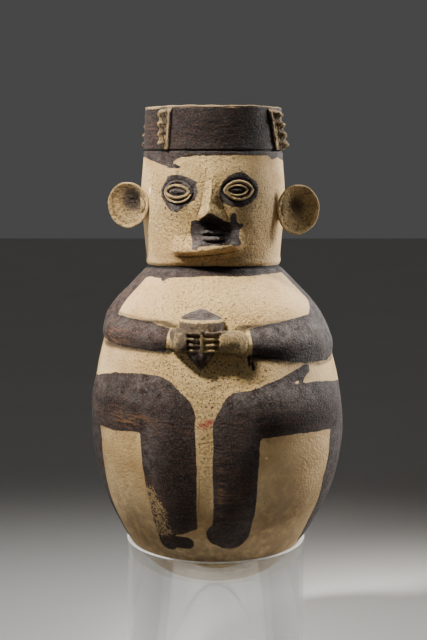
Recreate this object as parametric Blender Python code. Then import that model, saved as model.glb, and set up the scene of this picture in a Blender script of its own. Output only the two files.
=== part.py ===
"""Figural urn of fired clay, standing by its round bottom in a clear display tube.

The urn is one hollow vessel. Its neck is a head with a cap, dish-shaped ears and a
straight-sided face. Its body carries two arms in low relief, whose hands hold a
pointed cup in front of the chest, and two drawn-up legs in lower relief.

Sizes are in millimetres. Every mesh is turned into metres once, when it is finished.
Azimuth is in degrees around the urn's axis: 0 is the front (-Y) and +90 is at +X.
"""
import math

import bmesh
import bpy
import numpy as np
from mathutils import Matrix, Vector
from mathutils.geometry import interpolate_bezier

MM = 0.001

# Place of the common axis, so that the whole stands centred over the origin
AXIS_X = -2.0
AXIS_Y = 2.0

# Display tube
TUBE_OUTER_RADIUS = 90.0
TUBE_WALL = 4.0
TUBE_HEIGHT = 150.0
TUBE_INNER_RADIUS = TUBE_OUTER_RADIUS - TUBE_WALL

# Urn: overall sizes and the seat in the tube
URN_BOTTOM = 110.0
NECK_HEIGHT = 427.0
URN_TOP = 579.5
NECK_RADIUS = 64.8
RIM_RADIUS = 66.5
WALL = 7.0
RIM_EDGE = 1.5
SEAT_GAP = 0.5
SEAT_RADIUS = TUBE_INNER_RADIUS - SEAT_GAP

# Outline of the body and of the head, as (radius, height)
BODY_OUTLINE = (
    (0.0, URN_BOTTOM),
    (25.0, 112.0),
    (45.0, 116.5),
    (62.0, 125.5),
    (SEAT_RADIUS, TUBE_HEIGHT),
    (103.2, 179.0),
    (117.0, 212.0),
    (125.8, 262.0),
    (123.5, 300.0),
    (113.5, 348.0),
    (99.0, 388.0),
    (80.0, 411.0),
    (NECK_RADIUS, NECK_HEIGHT),
)
HEAD_OUTLINE = (
    (NECK_RADIUS, NECK_HEIGHT),
    (65.8, 433.0),
    (68.0, 455.0),
    (70.8, 496.0),
    (68.6, 530.0),
    (RIM_RADIUS, URN_TOP - RIM_EDGE),
)

# Sideways drift of the hand-built axis, as (shift towards +X, height)
DRIFT = (
    (0.0, URN_BOTTOM),
    (0.0, TUBE_HEIGHT),
    (2.0, 225.0),
    (0.0, 350.0),
    (-2.2, NECK_HEIGHT),
    (-2.6, URN_TOP),
)

# Incised line around the foot of the cap
CAP_LINE_HEIGHT = 537.5
CAP_LINE_HALF_WIDTH = 1.3
CAP_LINE_DEPTH = 1.2

# Mesh fineness
SEGMENTS = 48
CURVE_STEPS = 12
OUTER_ROW = 20.0
INNER_ROW = 30.0

# How deep the root of an applied piece of clay sits in the wall
BURY = 4.0

# Legs in low relief: (azimuth, height) of hip, knee and ankle, half width, height of relief
LEG_HALF_WIDTH = 27.0
LEG_RELIEF = 3.0
LEFT_LEG = ((-76.0, 304.0), (-25.0, 303.0), (-21.0, 182.0))
RIGHT_LEG = ((66.0, 300.0), (12.0, 300.0), (8.0, 182.0))

# Arms in low relief: (azimuth, height, half width, relief) from shoulder to wrist
LEFT_ARM = (
    (-76.0, 410.0, 7.0, 0.8),
    (-82.0, 396.0, 12.0, 2.5),
    (-83.0, 380.0, 15.0, 4.5),
    (-75.0, 369.0, 15.0, 5.0),
    (-60.0, 368.0, 13.5, 4.5),
    (-44.0, 368.0, 12.5, 4.5),
    (-31.0, 367.5, 12.0, 5.0),
    (-23.0, 367.0, 10.5, 6.0),
)
RIGHT_ARM = (
    (80.0, 409.0, 7.0, 0.5),
    (84.0, 393.0, 12.0, 1.0),
    (86.0, 374.0, 16.0, 2.8),
    (79.0, 358.0, 19.0, 5.0),
    (61.0, 358.5, 20.5, 5.0),
    (40.0, 361.5, 17.5, 4.8),
    (25.0, 363.5, 14.0, 5.0),
    (14.0, 364.0, 11.5, 6.0),
)

# Cup held by the hands: (centre x, centre y, height, radius) from the tip to the rim
CUP_SIDES = 16
CUP_RINGS = (
    (-13.8, -116.5, 341.5, 2.5),
    (-14.0, -114.5, 349.0, 9.0),
    (-14.2, -111.5, 356.0, 15.5),
    (-13.6, -108.0, 366.0, 17.5),
    (-13.2, -104.5, 376.0, 19.0),
    (-13.0, -101.8, 384.0, 19.8),
)
CUP_PEAK = 11.0

# Hands: (x, y, height, half depth, half height) from wrist to knuckles
HAND_SIDES = 10
LEFT_HAND = (
    (-45.0, -99.0, 366.0, 5.0, 8.0),
    (-38.0, -109.0, 367.5, 8.0, 10.0),
    (-30.0, -116.0, 367.5, 10.0, 10.5),
    (-24.5, -121.0, 367.0, 7.0, 9.5),
)
RIGHT_HAND = (
    (30.0, -106.0, 363.0, 6.0, 9.5),
    (20.0, -112.0, 364.0, 9.0, 10.5),
    (8.0, -117.0, 366.0, 10.0, 10.0),
    (0.0, -121.0, 366.5, 7.0, 9.5),
)
FINGERS = 4
FINGER_RADIUS = 2.2
FINGER_PITCH = 5.2
FINGER_SIDES = 8
FINGER_DEPTH = -126.4
LEFT_FINGERS = (-25.0, -15.6, 374.9)
RIGHT_FINGERS = (0.5, -9.6, 374.3)

# Ears: centre, radius, outward turn, offset of the dish's deepest point (sideways, up)
EAR_SIDES = 18
EAR_THICKNESS = 6.0
EAR_RIM = 3.0
EAR_DISH = 5.0
EAR_STEM_RADIUS = 8.5
LEFT_EAR = ((-85.0, -26.0, 486.0), 22.0, 23.5, (4.0, 4.5))
RIGHT_EAR = ((80.0, -26.0, 481.5), 24.2, 30.0, (0.5, 4.0))

# Nose: (height, left foot, right foot, ridge, relief), azimuths of the feet and ridge
NOSE = (
    (517.0, -5.5, 0.5, -3.0, 0.6),
    (503.0, -7.0, 4.0, -3.2, 5.0),
    (490.0, -8.0, 7.0, -3.4, 10.0),
    (481.0, -9.5, 9.5, -3.4, 14.0),
    (477.0, -10.0, 10.0, -3.2, 11.0),
    (472.5, -9.0, 8.5, -2.0, 1.0),
)

# Eyes: (azimuth, height), half width, half height, how pointed the corners are
EYE_STEPS = 14
EYE_RIDGE = 1.3
EYE_RELIEF = 1.8
PUPIL_SHARE = 0.66
LEFT_EYE = ((-28.4, 499.8), 13.5, 7.6, 0.10)
RIGHT_EYE = ((19.6, 501.2), 14.5, 8.2, 0.35)

# Lips: (azimuth, height, half width, relief), each from the left corner to the right
UPPER_LIP = ((-9.0, 461.0, 0.8, 0.6), (-5.0, 462.0, 2.0, 2.6), (3.0, 462.0, 2.0, 2.6),
             (9.0, 461.0, 0.8, 0.6))
LOWER_LIP = ((-8.5, 457.5, 0.8, 0.6), (-4.5, 456.6, 2.0, 2.8), (3.5, 456.6, 2.0, 2.8),
             (9.5, 457.5, 0.8, 0.6))

# Ledge of the jaw: (azimuth, height of its edge, relief)
JAW = (
    (-37.0, 444.0, 0.5),
    (-30.0, 444.0, 4.5),
    (-18.0, 444.0, 8.0),
    (-6.0, 445.5, 9.0),
    (6.0, 447.5, 9.0),
    (17.0, 449.5, 6.0),
    (25.0, 451.0, 0.5),
)
# Section across the ledge: (height from its edge, share of the relief)
JAW_SECTION = ((15.0, 0.02), (7.0, 0.65), (1.2, 1.0), (-1.2, 0.95), (-6.0, 0.30), (-12.0, 0.02))

# Strips on the cap: azimuth of the plain edge and of the toothed edge
STRIP_TOP = URN_TOP - 4.5
STRIP_BOTTOM = 539.5
STRIP_TEETH = 4
STRIP_TOOTH = 3.0
STRIP_POINT = 0.4
STRIP_PLAIN_RELIEF = 2.2
STRIP_TOOTHED_RELIEF = 4.6
STRIPS = ((-34.5, -47.0), (53.0, 66.0), (-122.0, -109.5), (130.0, 117.0))

# Surface values
CLAY_COLOUR = (0.62, 0.48, 0.32, 1.0)
CLAY_ROUGHNESS = 0.85
TUBE_COLOUR = (0.93, 0.96, 0.97, 0.25)
TUBE_ROUGHNESS = 0.05
SHARP_ANGLE = math.radians(38.0)
WELD = 1e-5


def smooth_line(stations, level_start=False):
    """Return a smooth line through (radius, height) stations, as Vectors."""
    points = [Vector(station) for station in stations]
    directions = []
    for index, point in enumerate(points):
        before = point - points[index - 1] if index else points[1] - point
        after = points[index + 1] - point if index + 1 < len(points) else before
        directions.append((before.normalized() + after.normalized()).normalized())
    if level_start:
        directions[0] = Vector((1.0, 0.0))
    line = []
    for index in range(len(points) - 1):
        start, end = points[index], points[index + 1]
        reach = (end - start).length / 3.0
        span = interpolate_bezier(start, start + directions[index] * reach,
                                  end - directions[index + 1] * reach, end, CURVE_STEPS + 1)
        line.extend(span if index == 0 else span[1:])
    return line


BODY_LINE = smooth_line(BODY_OUTLINE, level_start=True)
HEAD_LINE = smooth_line(HEAD_OUTLINE)
DRIFT_LINE = smooth_line(DRIFT)
OUTER_LINE = BODY_LINE + HEAD_LINE[1:]


def value_at(line, height):
    """Return the line's first coordinate at a height."""
    return float(np.interp(height, [p[1] for p in line], [p[0] for p in line]))


def skin_point(azimuth, height, proud=0.0):
    """Return a point on the urn's outer face, or proud of it."""
    turn = math.radians(azimuth)
    reach = value_at(OUTER_LINE, height) + proud
    shift = value_at(DRIFT_LINE, height)
    return Vector((shift + reach * math.sin(turn), -reach * math.cos(turn), height))


def skin_offset(azimuth, height, across, up, proud):
    """Return a point on the skin, moved by millimetres across and up."""
    reach = value_at(OUTER_LINE, height)
    return skin_point(azimuth + math.degrees(across / reach), height + up, proud)


def spaced(line, spacing):
    """Return points at an even spacing along a line, its two ends kept."""
    points = np.array([tuple(p) for p in line])
    lengths = np.concatenate([[0.0], np.cumsum(np.linalg.norm(np.diff(points, axis=0), axis=1))])
    count = max(2, round(lengths[-1] / spacing) + 1)
    marks = np.linspace(0.0, lengths[-1], count)
    return [Vector((float(np.interp(mark, lengths, points[:, 0])),
                    float(np.interp(mark, lengths, points[:, 1])))) for mark in marks]


def outer_rows():
    """Return the rows of the outer face, one at the seat, with the cap's line cut in."""
    seat = BODY_OUTLINE.index((SEAT_RADIUS, TUBE_HEIGHT)) * CURVE_STEPS
    rows = spaced(BODY_LINE[:seat + 1], OUTER_ROW)
    rows.extend(spaced(BODY_LINE[seat:], OUTER_ROW)[1:])
    rows.extend(spaced(HEAD_LINE, OUTER_ROW)[1:])
    low = CAP_LINE_HEIGHT - CAP_LINE_HALF_WIDTH
    high = CAP_LINE_HEIGHT + CAP_LINE_HALF_WIDTH
    clear = 4.0 * CAP_LINE_HALF_WIDTH
    below = [row for row in rows if row.y < low - clear]
    above = [row for row in rows if row.y > high + clear]
    line = [Vector((value_at(OUTER_LINE, low), low)),
            Vector((value_at(OUTER_LINE, CAP_LINE_HEIGHT) - CAP_LINE_DEPTH, CAP_LINE_HEIGHT)),
            Vector((value_at(OUTER_LINE, high), high))]
    return below + line + above


def inner_rows():
    """Return the rows of the hollow, one wall inside the outer face, from the rim down."""
    body = [Vector((0.0, URN_BOTTOM + WALL))]
    for index in range(1, len(BODY_LINE) - 1):
        along = (BODY_LINE[index + 1] - BODY_LINE[index - 1]).normalized()
        body.append(BODY_LINE[index] + Vector((-along.y, along.x)) * WALL)
    head = [point - Vector((WALL, 0.0)) for point in HEAD_LINE]
    return list(reversed(spaced(body, INNER_ROW) + spaced(head, INNER_ROW)))


def share_of_bar(azimuth, height, path, half_width):
    """Return 1 on the middle of a bar laid along a path on the skin, 0 off it."""
    reach = value_at(OUTER_LINE, height)
    nearest = half_width
    for start, end in zip(path, path[1:]):
        first = Vector((math.radians(start[0] - azimuth) * reach, start[1] - height))
        last = Vector((math.radians(end[0] - azimuth) * reach, end[1] - height))
        run = last - first
        share = min(1.0, max(0.0, -first.dot(run) / run.length_squared))
        nearest = min(nearest, (first + run * share).length)
    return 1.0 - (nearest / half_width) ** 2


def leg_relief(azimuth, height):
    """Return how far the legs stand proud of the body at a place on it."""
    share = max(share_of_bar(azimuth, height, LEFT_LEG, LEG_HALF_WIDTH),
                share_of_bar(azimuth, height, RIGHT_LEG, LEG_HALF_WIDTH))
    return LEG_RELIEF * math.sqrt(max(0.0, share))


def vessel():
    """Return the hollow vessel with its legs and its drift, as a bmesh."""
    bm = bmesh.new()
    rows = outer_rows()
    rows.append(Vector((RIM_RADIUS - RIM_EDGE, URN_TOP)))
    rows.append(Vector((RIM_RADIUS - WALL + RIM_EDGE, URN_TOP)))
    rows.extend(inner_rows())
    verts = [bm.verts.new((row.x, 0.0, row.y)) for row in rows]
    edges = [bm.edges.new(pair) for pair in zip(verts, verts[1:])]
    bmesh.ops.spin(bm, geom=verts + edges, axis=(0.0, 0.0, 1.0), cent=(0.0, 0.0, 0.0),
                   angle=2.0 * math.pi, steps=SEGMENTS, use_merge=True)
    bmesh.ops.remove_doubles(bm, verts=bm.verts, dist=WELD)
    for vert in bm.verts:
        height = vert.co.z
        radius = math.hypot(vert.co.x, vert.co.y)
        on_outside = radius > value_at(OUTER_LINE, height) - WALL / 4.0
        if on_outside and TUBE_HEIGHT < height < NECK_HEIGHT:
            azimuth = math.degrees(math.atan2(vert.co.x, -vert.co.y))
            grown = 1.0 + leg_relief(azimuth, height) / radius
            vert.co.x *= grown
            vert.co.y *= grown
        vert.co.x += value_at(DRIFT_LINE, height)
    return bm


def loft(bm, rings, closed=False):
    """Skin a run of rings of points into one closed solid."""
    loops = []
    for ring in rings:
        verts = [bm.verts.new(point) for point in ring]
        pairs = zip(verts, verts[1:] + verts[:1])
        loops.append([bm.edges.new(pair) for pair in pairs])
    following = loops[1:] + loops[:1] if closed else loops[1:]
    for first, second in zip(loops, following):
        bmesh.ops.bridge_loops(bm, edges=first + second)
    if not closed:
        bmesh.ops.edgeloop_fill(bm, edges=loops[0] + loops[-1])


def ridge_ring(azimuth, height, across, half_width, proud, points):
    """Return one section of a rounded ridge on the skin, with its buried root."""
    ring = []
    for index in range(points):
        turn = math.pi * index / (points - 1)
        side = across * (half_width * math.cos(turn))
        ring.append(skin_offset(azimuth, height, side.x, side.y, proud * math.sin(turn)))
    for side in (-across * half_width, across * half_width):
        ring.append(skin_offset(azimuth, height, side.x, side.y, -BURY))
    return ring


def ridge(bm, path, points=7):
    """Lay a rounded ridge on the skin along (azimuth, height, half width, relief)."""
    rings = []
    for index, (azimuth, height, half_width, proud) in enumerate(path):
        before = path[max(index - 1, 0)]
        after = path[min(index + 1, len(path) - 1)]
        reach = value_at(OUTER_LINE, height)
        along = Vector((math.radians(after[0] - before[0]) * reach, after[1] - before[1]))
        along.normalize()
        across = Vector((-along.y, along.x))
        rings.append(ridge_ring(azimuth, height, across, half_width, proud, points))
    loft(bm, rings)


def almond(half_width, half_height, pointed, share):
    """Return a point of an almond-shaped outline, share running from 0 to 1."""
    turn = 2.0 * math.pi * share
    rise = math.sin(turn)
    return Vector((half_width * math.cos(turn), half_height * rise * abs(rise) ** pointed))


def eye(bm, centre, half_width, half_height, pointed):
    """Lay an almond ridge and a low pupil inside it on the skin."""
    rings = []
    for index in range(EYE_STEPS):
        here = almond(half_width - EYE_RIDGE, half_height - EYE_RIDGE, pointed,
                      index / EYE_STEPS)
        outward = Vector((here.x / half_width ** 2, here.y / half_height ** 2)).normalized()
        ring = []
        for side, proud in ((EYE_RIDGE, -BURY), (EYE_RIDGE, 0.4 * EYE_RELIEF),
                            (0.0, EYE_RELIEF), (-EYE_RIDGE, 0.4 * EYE_RELIEF),
                            (-EYE_RIDGE, -BURY)):
            place = here + outward * side
            ring.append(skin_offset(*centre, place.x, place.y, proud))
        rings.append(ring)
    loft(bm, rings, closed=True)
    rings = []
    for share, proud in ((1.0, -BURY), (1.0, 0.3 * EYE_RELIEF), (0.5, EYE_RELIEF)):
        size = PUPIL_SHARE * share
        places = [almond(half_width * size, half_height * size, 0.0, index / EYE_STEPS)
                  for index in range(EYE_STEPS)]
        rings.append([skin_offset(*centre, place.x, place.y, proud) for place in places])
    loft(bm, rings)


def nose(bm):
    """Lay the wedge of the nose on the face."""
    rings = []
    for height, left, right, ridge_azimuth, proud in NOSE:
        places = ((left, -BURY), (left, 0.0), ((left + ridge_azimuth) / 2.0, 0.45 * proud),
                  (ridge_azimuth - 1.0, 0.95 * proud), (ridge_azimuth + 1.0, 0.95 * proud),
                  ((right + ridge_azimuth) / 2.0, 0.50 * proud), (right, 0.0), (right, -BURY))
        rings.append([skin_point(azimuth, height, rise) for azimuth, rise in places])
    loft(bm, rings)


def jaw(bm):
    """Lay the ledge of the jaw across the foot of the face."""
    rings = []
    for azimuth, height, proud in JAW:
        ring = [skin_point(azimuth, height + JAW_SECTION[0][0], -BURY)]
        ring.extend(skin_point(azimuth, height + up, share * proud) for up, share in JAW_SECTION)
        ring.append(skin_point(azimuth, height + JAW_SECTION[-1][0], -BURY))
        rings.append(ring)
    loft(bm, rings)


def strip(bm, plain, toothed):
    """Lay a toothed strip of clay on the cap."""
    toward = 1.0 if toothed > plain else -1.0
    marks = 2 * STRIP_TEETH
    rings = []
    for index in range(marks + 1):
        height = STRIP_BOTTOM + (STRIP_TOP - STRIP_BOTTOM) * index / marks
        out = index % 2
        reach = value_at(OUTER_LINE, height)
        edge = toothed + toward * math.degrees(STRIP_TOOTH * (out - 0.5) / reach)
        if index == 0:
            edge = plain + (edge - plain) * STRIP_POINT
        lift = STRIP_TOOTHED_RELIEF * (0.75 + 0.25 * out)
        places = ((plain, -BURY), (plain, 0.6 * STRIP_PLAIN_RELIEF),
                  (0.85 * plain + 0.15 * edge, STRIP_PLAIN_RELIEF),
                  (0.15 * plain + 0.85 * edge, lift), (edge, 0.7 * lift), (edge, -BURY))
        rings.append([skin_point(azimuth, height, rise) for azimuth, rise in places])
    loft(bm, rings)


def clear_of_hollow(point):
    """Return a point moved out, if need be, so that it stays inside the wall."""
    shift = value_at(DRIFT_LINE, point.z)
    reach = math.hypot(point.x - shift, point.y)
    least = value_at(OUTER_LINE, point.z) - BURY
    if reach >= least:
        return point
    grown = least / reach
    return Vector((shift + (point.x - shift) * grown, point.y * grown, point.z))


def turn_points(count):
    """Return the (cosine, sine) pairs of points evenly around a circle."""
    turns = [2.0 * math.pi * index / count for index in range(count)]
    return [(math.cos(turn), math.sin(turn)) for turn in turns]


def cup(bm):
    """Make the pointed cup, its top sloping up to a peak on the chest."""
    rings = []
    for x, y, height, radius in CUP_RINGS:
        rings.append([Vector((x + radius * c, y + radius * s, height))
                      for c, s in turn_points(CUP_SIDES)])
    x, y, height, radius = CUP_RINGS[-1]
    lip = radius - 1.6
    top = []
    for c, s in turn_points(CUP_SIDES):
        rise = CUP_PEAK * max(0.0, s) * (1.0 - 0.8 * abs(c))
        top.append(Vector((x + lip * c, y + lip * s, height + 0.3 + rise)))
    rings.append(top)
    loft(bm, [[clear_of_hollow(point) for point in ring] for ring in rings])


def hand(bm, stations):
    """Make the back of a hand, from the wrist to the knuckles."""
    rings = []
    for x, y, height, half_depth, half_height in stations:
        ring = [Vector((x, y + half_depth * c, height + half_height * s))
                for c, s in turn_points(HAND_SIDES)]
        rings.append([clear_of_hollow(point) for point in ring])
    loft(bm, rings)


def fingers(bm, knuckle_x, tip_x, top_height):
    """Make the row of fingers that closes on the cup."""
    length = abs(tip_x - knuckle_x)
    turn = Matrix.Rotation(math.copysign(math.pi / 2.0, tip_x - knuckle_x), 4, "Y")
    for index in range(FINGERS):
        place = Matrix.Translation((knuckle_x, FINGER_DEPTH, top_height - index * FINGER_PITCH))
        made = bmesh.ops.create_uvsphere(bm, u_segments=FINGER_SIDES, v_segments=4,
                                         radius=FINGER_RADIUS)
        for vert in made["verts"]:
            if vert.co.z > WELD:
                vert.co.z += length
        bmesh.ops.transform(bm, matrix=place @ turn, verts=made["verts"])


def ear(bm, centre, radius, outward, dish_offset):
    """Make the dished disc of an ear."""
    side = math.copysign(1.0, centre[0])
    frame = Matrix.Translation(centre) @ Matrix.Rotation(
        math.radians(side * outward), 4, "Z")
    # (share of the radius, place front to back, share of the dish's offset)
    stations = (
        (0.15, EAR_THICKNESS, 0.0),
        (0.55, 0.95 * EAR_THICKNESS, 0.0),
        (0.97, 0.45 * EAR_THICKNESS, 0.0),
        (1.0, 0.15 * EAR_THICKNESS, 0.0),
        (1.0 - 0.4 * EAR_RIM / radius, 0.0, 0.0),
        (1.0 - EAR_RIM / radius, 0.10 * EAR_DISH, 0.0),
        (0.55, 0.60 * EAR_DISH, 0.6),
        (0.15, EAR_DISH, 1.0),
    )
    rings = []
    for share, depth, shift in stations:
        rings.append([frame @ Vector((radius * share * c + shift * dish_offset[0], depth,
                                      radius * share * s + shift * dish_offset[1]))
                      for c, s in turn_points(EAR_SIDES)])
    loft(bm, rings)


def ear_stem(bm, centre, radius, outward):
    """Make the short stem that joins an ear to the side of the head."""
    side = math.copysign(1.0, centre[0])
    frame = Matrix.Translation(centre) @ Matrix.Rotation(
        math.radians(side * outward), 4, "Z")
    root = frame @ Vector((-side * 0.45 * radius, EAR_THICKNESS * 0.9, 0.0))
    wall = clear_of_hollow(Vector((0.6 * root.x, 0.6 * root.y, root.z)))
    axis = (wall - root).normalized()
    across = axis.cross(Vector((0.0, 0.0, 1.0))).normalized()
    up = across.cross(axis)
    rings = []
    for share, size in ((0.0, 1.0), (1.0, 1.15)):
        middle = root.lerp(wall, share)
        rings.append([middle + (across * c + up * s) * EAR_STEM_RADIUS * size
                      for c, s in turn_points(12)])
    loft(bm, [[clear_of_hollow(point) for point in ring] for ring in rings])


def face_and_limbs(bm):
    """Add the forms that stand clear of one another on the vessel."""
    ridge(bm, LEFT_ARM)
    ridge(bm, RIGHT_ARM)
    cup(bm)
    ear(bm, *LEFT_EAR)
    ear(bm, *RIGHT_EAR)
    nose(bm)
    eye(bm, *LEFT_EYE)
    eye(bm, *RIGHT_EYE)
    ridge(bm, UPPER_LIP, points=5)
    ridge(bm, LOWER_LIP, points=5)
    jaw(bm)
    for plain, toothed in STRIPS:
        strip(bm, plain, toothed)


def hands_and_stems(bm):
    """Add the forms that join the cup to the arms and the ears to the head."""
    hand(bm, LEFT_HAND)
    hand(bm, RIGHT_HAND)
    ear_stem(bm, *LEFT_EAR[:3])
    ear_stem(bm, *RIGHT_EAR[:3])


def both_fingers(bm):
    """Add both rows of fingers."""
    fingers(bm, *LEFT_FINGERS)
    fingers(bm, *RIGHT_FINGERS)


def tube():
    """Return the open display tube, as a bmesh."""
    bm = bmesh.new()
    corners = ((TUBE_OUTER_RADIUS, TUBE_HEIGHT), (TUBE_OUTER_RADIUS, 0.0),
               (TUBE_INNER_RADIUS, 0.0), (TUBE_INNER_RADIUS, TUBE_HEIGHT))
    verts = [bm.verts.new((radius, 0.0, height)) for radius, height in corners]
    edges = [bm.edges.new(pair) for pair in zip(verts, verts[1:] + verts[:1])]
    bmesh.ops.spin(bm, geom=verts + edges, axis=(0.0, 0.0, 1.0), cent=(0.0, 0.0, 0.0),
                   angle=2.0 * math.pi, steps=SEGMENTS, use_merge=True)
    bmesh.ops.remove_doubles(bm, verts=bm.verts, dist=WELD)
    return bm


def material(name, colour, roughness):
    """Return a new non-metallic material."""
    made = bpy.data.materials.new(name)
    made.use_nodes = True
    shader = made.node_tree.nodes["Principled BSDF"]
    shader.inputs["Base Color"].default_value = colour
    shader.inputs["Alpha"].default_value = colour[3]
    shader.inputs["Roughness"].default_value = roughness
    shader.inputs["Metallic"].default_value = 0.0
    made.diffuse_color = colour
    return made


def finish(bm, name, surface):
    """Turn a millimetre bmesh into a smooth-shaded object on the common axis."""
    bmesh.ops.triangulate(bm, faces=bm.faces)
    bmesh.ops.recalc_face_normals(bm, faces=bm.faces)
    bmesh.ops.scale(bm, vec=(MM, MM, MM), verts=bm.verts)
    mesh = bpy.data.meshes.new(name)
    bm.to_mesh(mesh)
    bm.free()
    mesh.shade_smooth()
    mesh.set_sharp_from_angle(angle=SHARP_ANGLE)
    mesh.materials.append(surface)
    made = bpy.data.objects.new(name, mesh)
    made.location = (AXIS_X * MM, AXIS_Y * MM, 0.0)
    bpy.context.scene.collection.objects.link(made)
    return made


def main():
    """Build the urn and its display tube."""
    for old in list(bpy.data.objects):
        bpy.data.objects.remove(old, do_unlink=True)
    clay = material("fired_clay", CLAY_COLOUR, CLAY_ROUGHNESS)
    clear = material("clear_acrylic", TUBE_COLOUR, TUBE_ROUGHNESS)
    urn = finish(vessel(), "urn", clay)
    for add in (face_and_limbs, hands_and_stems, both_fingers):
        bm = bmesh.new()
        add(bm)
        applied = finish(bm, "urn_" + add.__name__, clay)
        applied.hide_render = True
        applied.display_type = "WIRE"
        join = urn.modifiers.new(add.__name__, "BOOLEAN")
        join.operation = "UNION"
        join.solver = "EXACT"
        join.use_self = True
        join.object = applied
    finish(tube(), "clear_stand_tube", clear)


main()
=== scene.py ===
"""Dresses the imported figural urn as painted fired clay, standing in its clear display tube.

Sizes are in millimetres about the urn's own axis, and each mesh is turned into metres in the
row frame once, when it is finished. Azimuth is in degrees around that axis: 0 is the front
(-Y) and +90 is at +X. A place on the skin is an azimuth and a height.
"""
import logging
import math
from dataclasses import dataclass, field, replace
from enum import Enum
from functools import partial

import bmesh
import bpy
import numpy as np
from mathutils import Matrix, Vector
from mathutils.geometry import interpolate_bezier


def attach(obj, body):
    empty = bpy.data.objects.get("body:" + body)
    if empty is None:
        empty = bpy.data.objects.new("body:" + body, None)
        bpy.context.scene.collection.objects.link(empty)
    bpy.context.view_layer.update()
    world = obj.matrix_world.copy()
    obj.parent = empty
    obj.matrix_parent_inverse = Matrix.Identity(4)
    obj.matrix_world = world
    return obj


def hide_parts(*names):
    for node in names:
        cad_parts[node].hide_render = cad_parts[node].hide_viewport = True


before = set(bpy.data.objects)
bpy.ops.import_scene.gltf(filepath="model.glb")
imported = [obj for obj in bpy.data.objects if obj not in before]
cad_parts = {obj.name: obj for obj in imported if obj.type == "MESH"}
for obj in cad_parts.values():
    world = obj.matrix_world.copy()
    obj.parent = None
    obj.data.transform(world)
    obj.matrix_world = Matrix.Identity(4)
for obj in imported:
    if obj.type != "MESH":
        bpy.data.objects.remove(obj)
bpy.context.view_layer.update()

LOG = logging.getLogger("urn")
MM = 0.001
AXIS = Vector((-2.0, 2.0, 0.0))
WELD = 1e-4
FAR = 1e3
BARE = -9.0
SUM = {"operation": "MULTIPLY_ADD"}
PRODUCT = {"operation": "MULTIPLY"}

Station = tuple[float, ...]
Stations = tuple[Station, ...]


class Mark(Enum):
    """Point attributes of the urn that its finish reads."""

    PAINT = "paint_edge"
    # grey bloom on the paint, with painted light and painted shade
    HAZE_LIGHT_SHADE = "paint_haze"
    WEAR = "paint_wear"
    GRIT = "clay_grit"
    WARM = "clay_warmth"
    # soot and dirt, with painted shade
    SOOT_AND_SHADE = "clay_soot"
    # painted shade in hollows and creases; below zero on raised places
    HOLLOW_SHADE = "clay_hollow"
    SCRATCH = "paint_scratch"
    RED = "red_stain"
    OCHRE = "ochre_stain"
    CHIP = "white_chip"


class Slot(Enum):
    """Material slots of the record."""

    CLAY = "painted_clay"
    ACRYLIC = "clear_acrylic"


def linear(colour: str) -> tuple[float, float, float, float]:
    """Turn an sRGB hex colour into linear values.

    Args:
        colour: Six hex digits, such as "D9BE94".

    Returns:
        Red, green, blue and an alpha of one.
    """
    shares = [int(colour[i:i + 2], 16) / 255.0 for i in (0, 2, 4)]
    values = [s / 12.92 if s <= 0.04045 else ((s + 0.055) / 1.055) ** 2.4 for s in shares]
    return values[0], values[1], values[2], 1.0


def per_mm(size: float) -> float:
    """Return the texture scale that gives a pattern of this size in millimetres."""
    return 1.0 / (size * MM)


def add(tree: bpy.types.NodeTree, kind: str, settings: dict | None = None,
        inputs: dict | None = None) -> bpy.types.Node:
    """Add one node with its settings, values and links.

    Args:
        tree: The node tree that gets the node.
        kind: The node's type name.
        settings: Properties to set on the node.
        inputs: A value, or an output socket to link, for each input by name or index.

    Returns:
        The new node.
    """
    node = tree.nodes.new(kind)
    for name, value in (settings or {}).items():
        setattr(node, name, value)
    for key, value in (inputs or {}).items():
        if isinstance(value, bpy.types.NodeSocket):
            tree.links.new(value, node.inputs[key])
        else:
            node.inputs[key].default_value = value
    return node


def blank_material(name: str) -> tuple[bpy.types.Material, bpy.types.NodeTree,
                                       bpy.types.Node]:
    """Make a new material.

    Args:
        name: The material's name.

    Returns:
        The material, its node tree and its surface shader.
    """
    made = bpy.data.materials.new(name)
    made.use_nodes = True
    return made, made.node_tree, made.node_tree.nodes["Principled BSDF"]


def smooth_line(stations: Stations, steps: int, level_start: bool = False) -> np.ndarray:
    """Return a smooth line through (radius, height) stations.

    Args:
        stations: The points that the line goes through.
        steps: The number of short runs between two stations.
        level_start: Whether the line starts off level.

    Returns:
        The line's points, one row each.
    """
    points = [Vector(station) for station in stations]
    ways = []
    for index, point in enumerate(points):
        before = point - points[index - 1] if index else points[1] - point
        after = points[index + 1] - point if index + 1 < len(points) else before
        ways.append((before.normalized() + after.normalized()).normalized())
    if level_start:
        ways[0] = Vector((1.0, 0.0))
    line: list[Vector] = []
    for index, (start, end) in enumerate(zip(points, points[1:])):
        reach = (end - start).length / 3.0
        span = interpolate_bezier(start, start + ways[index] * reach,
                                  end - ways[index + 1] * reach, end, steps + 1)
        line.extend(span if index == 0 else span[1:])
    return np.array([tuple(point) for point in line])


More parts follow.
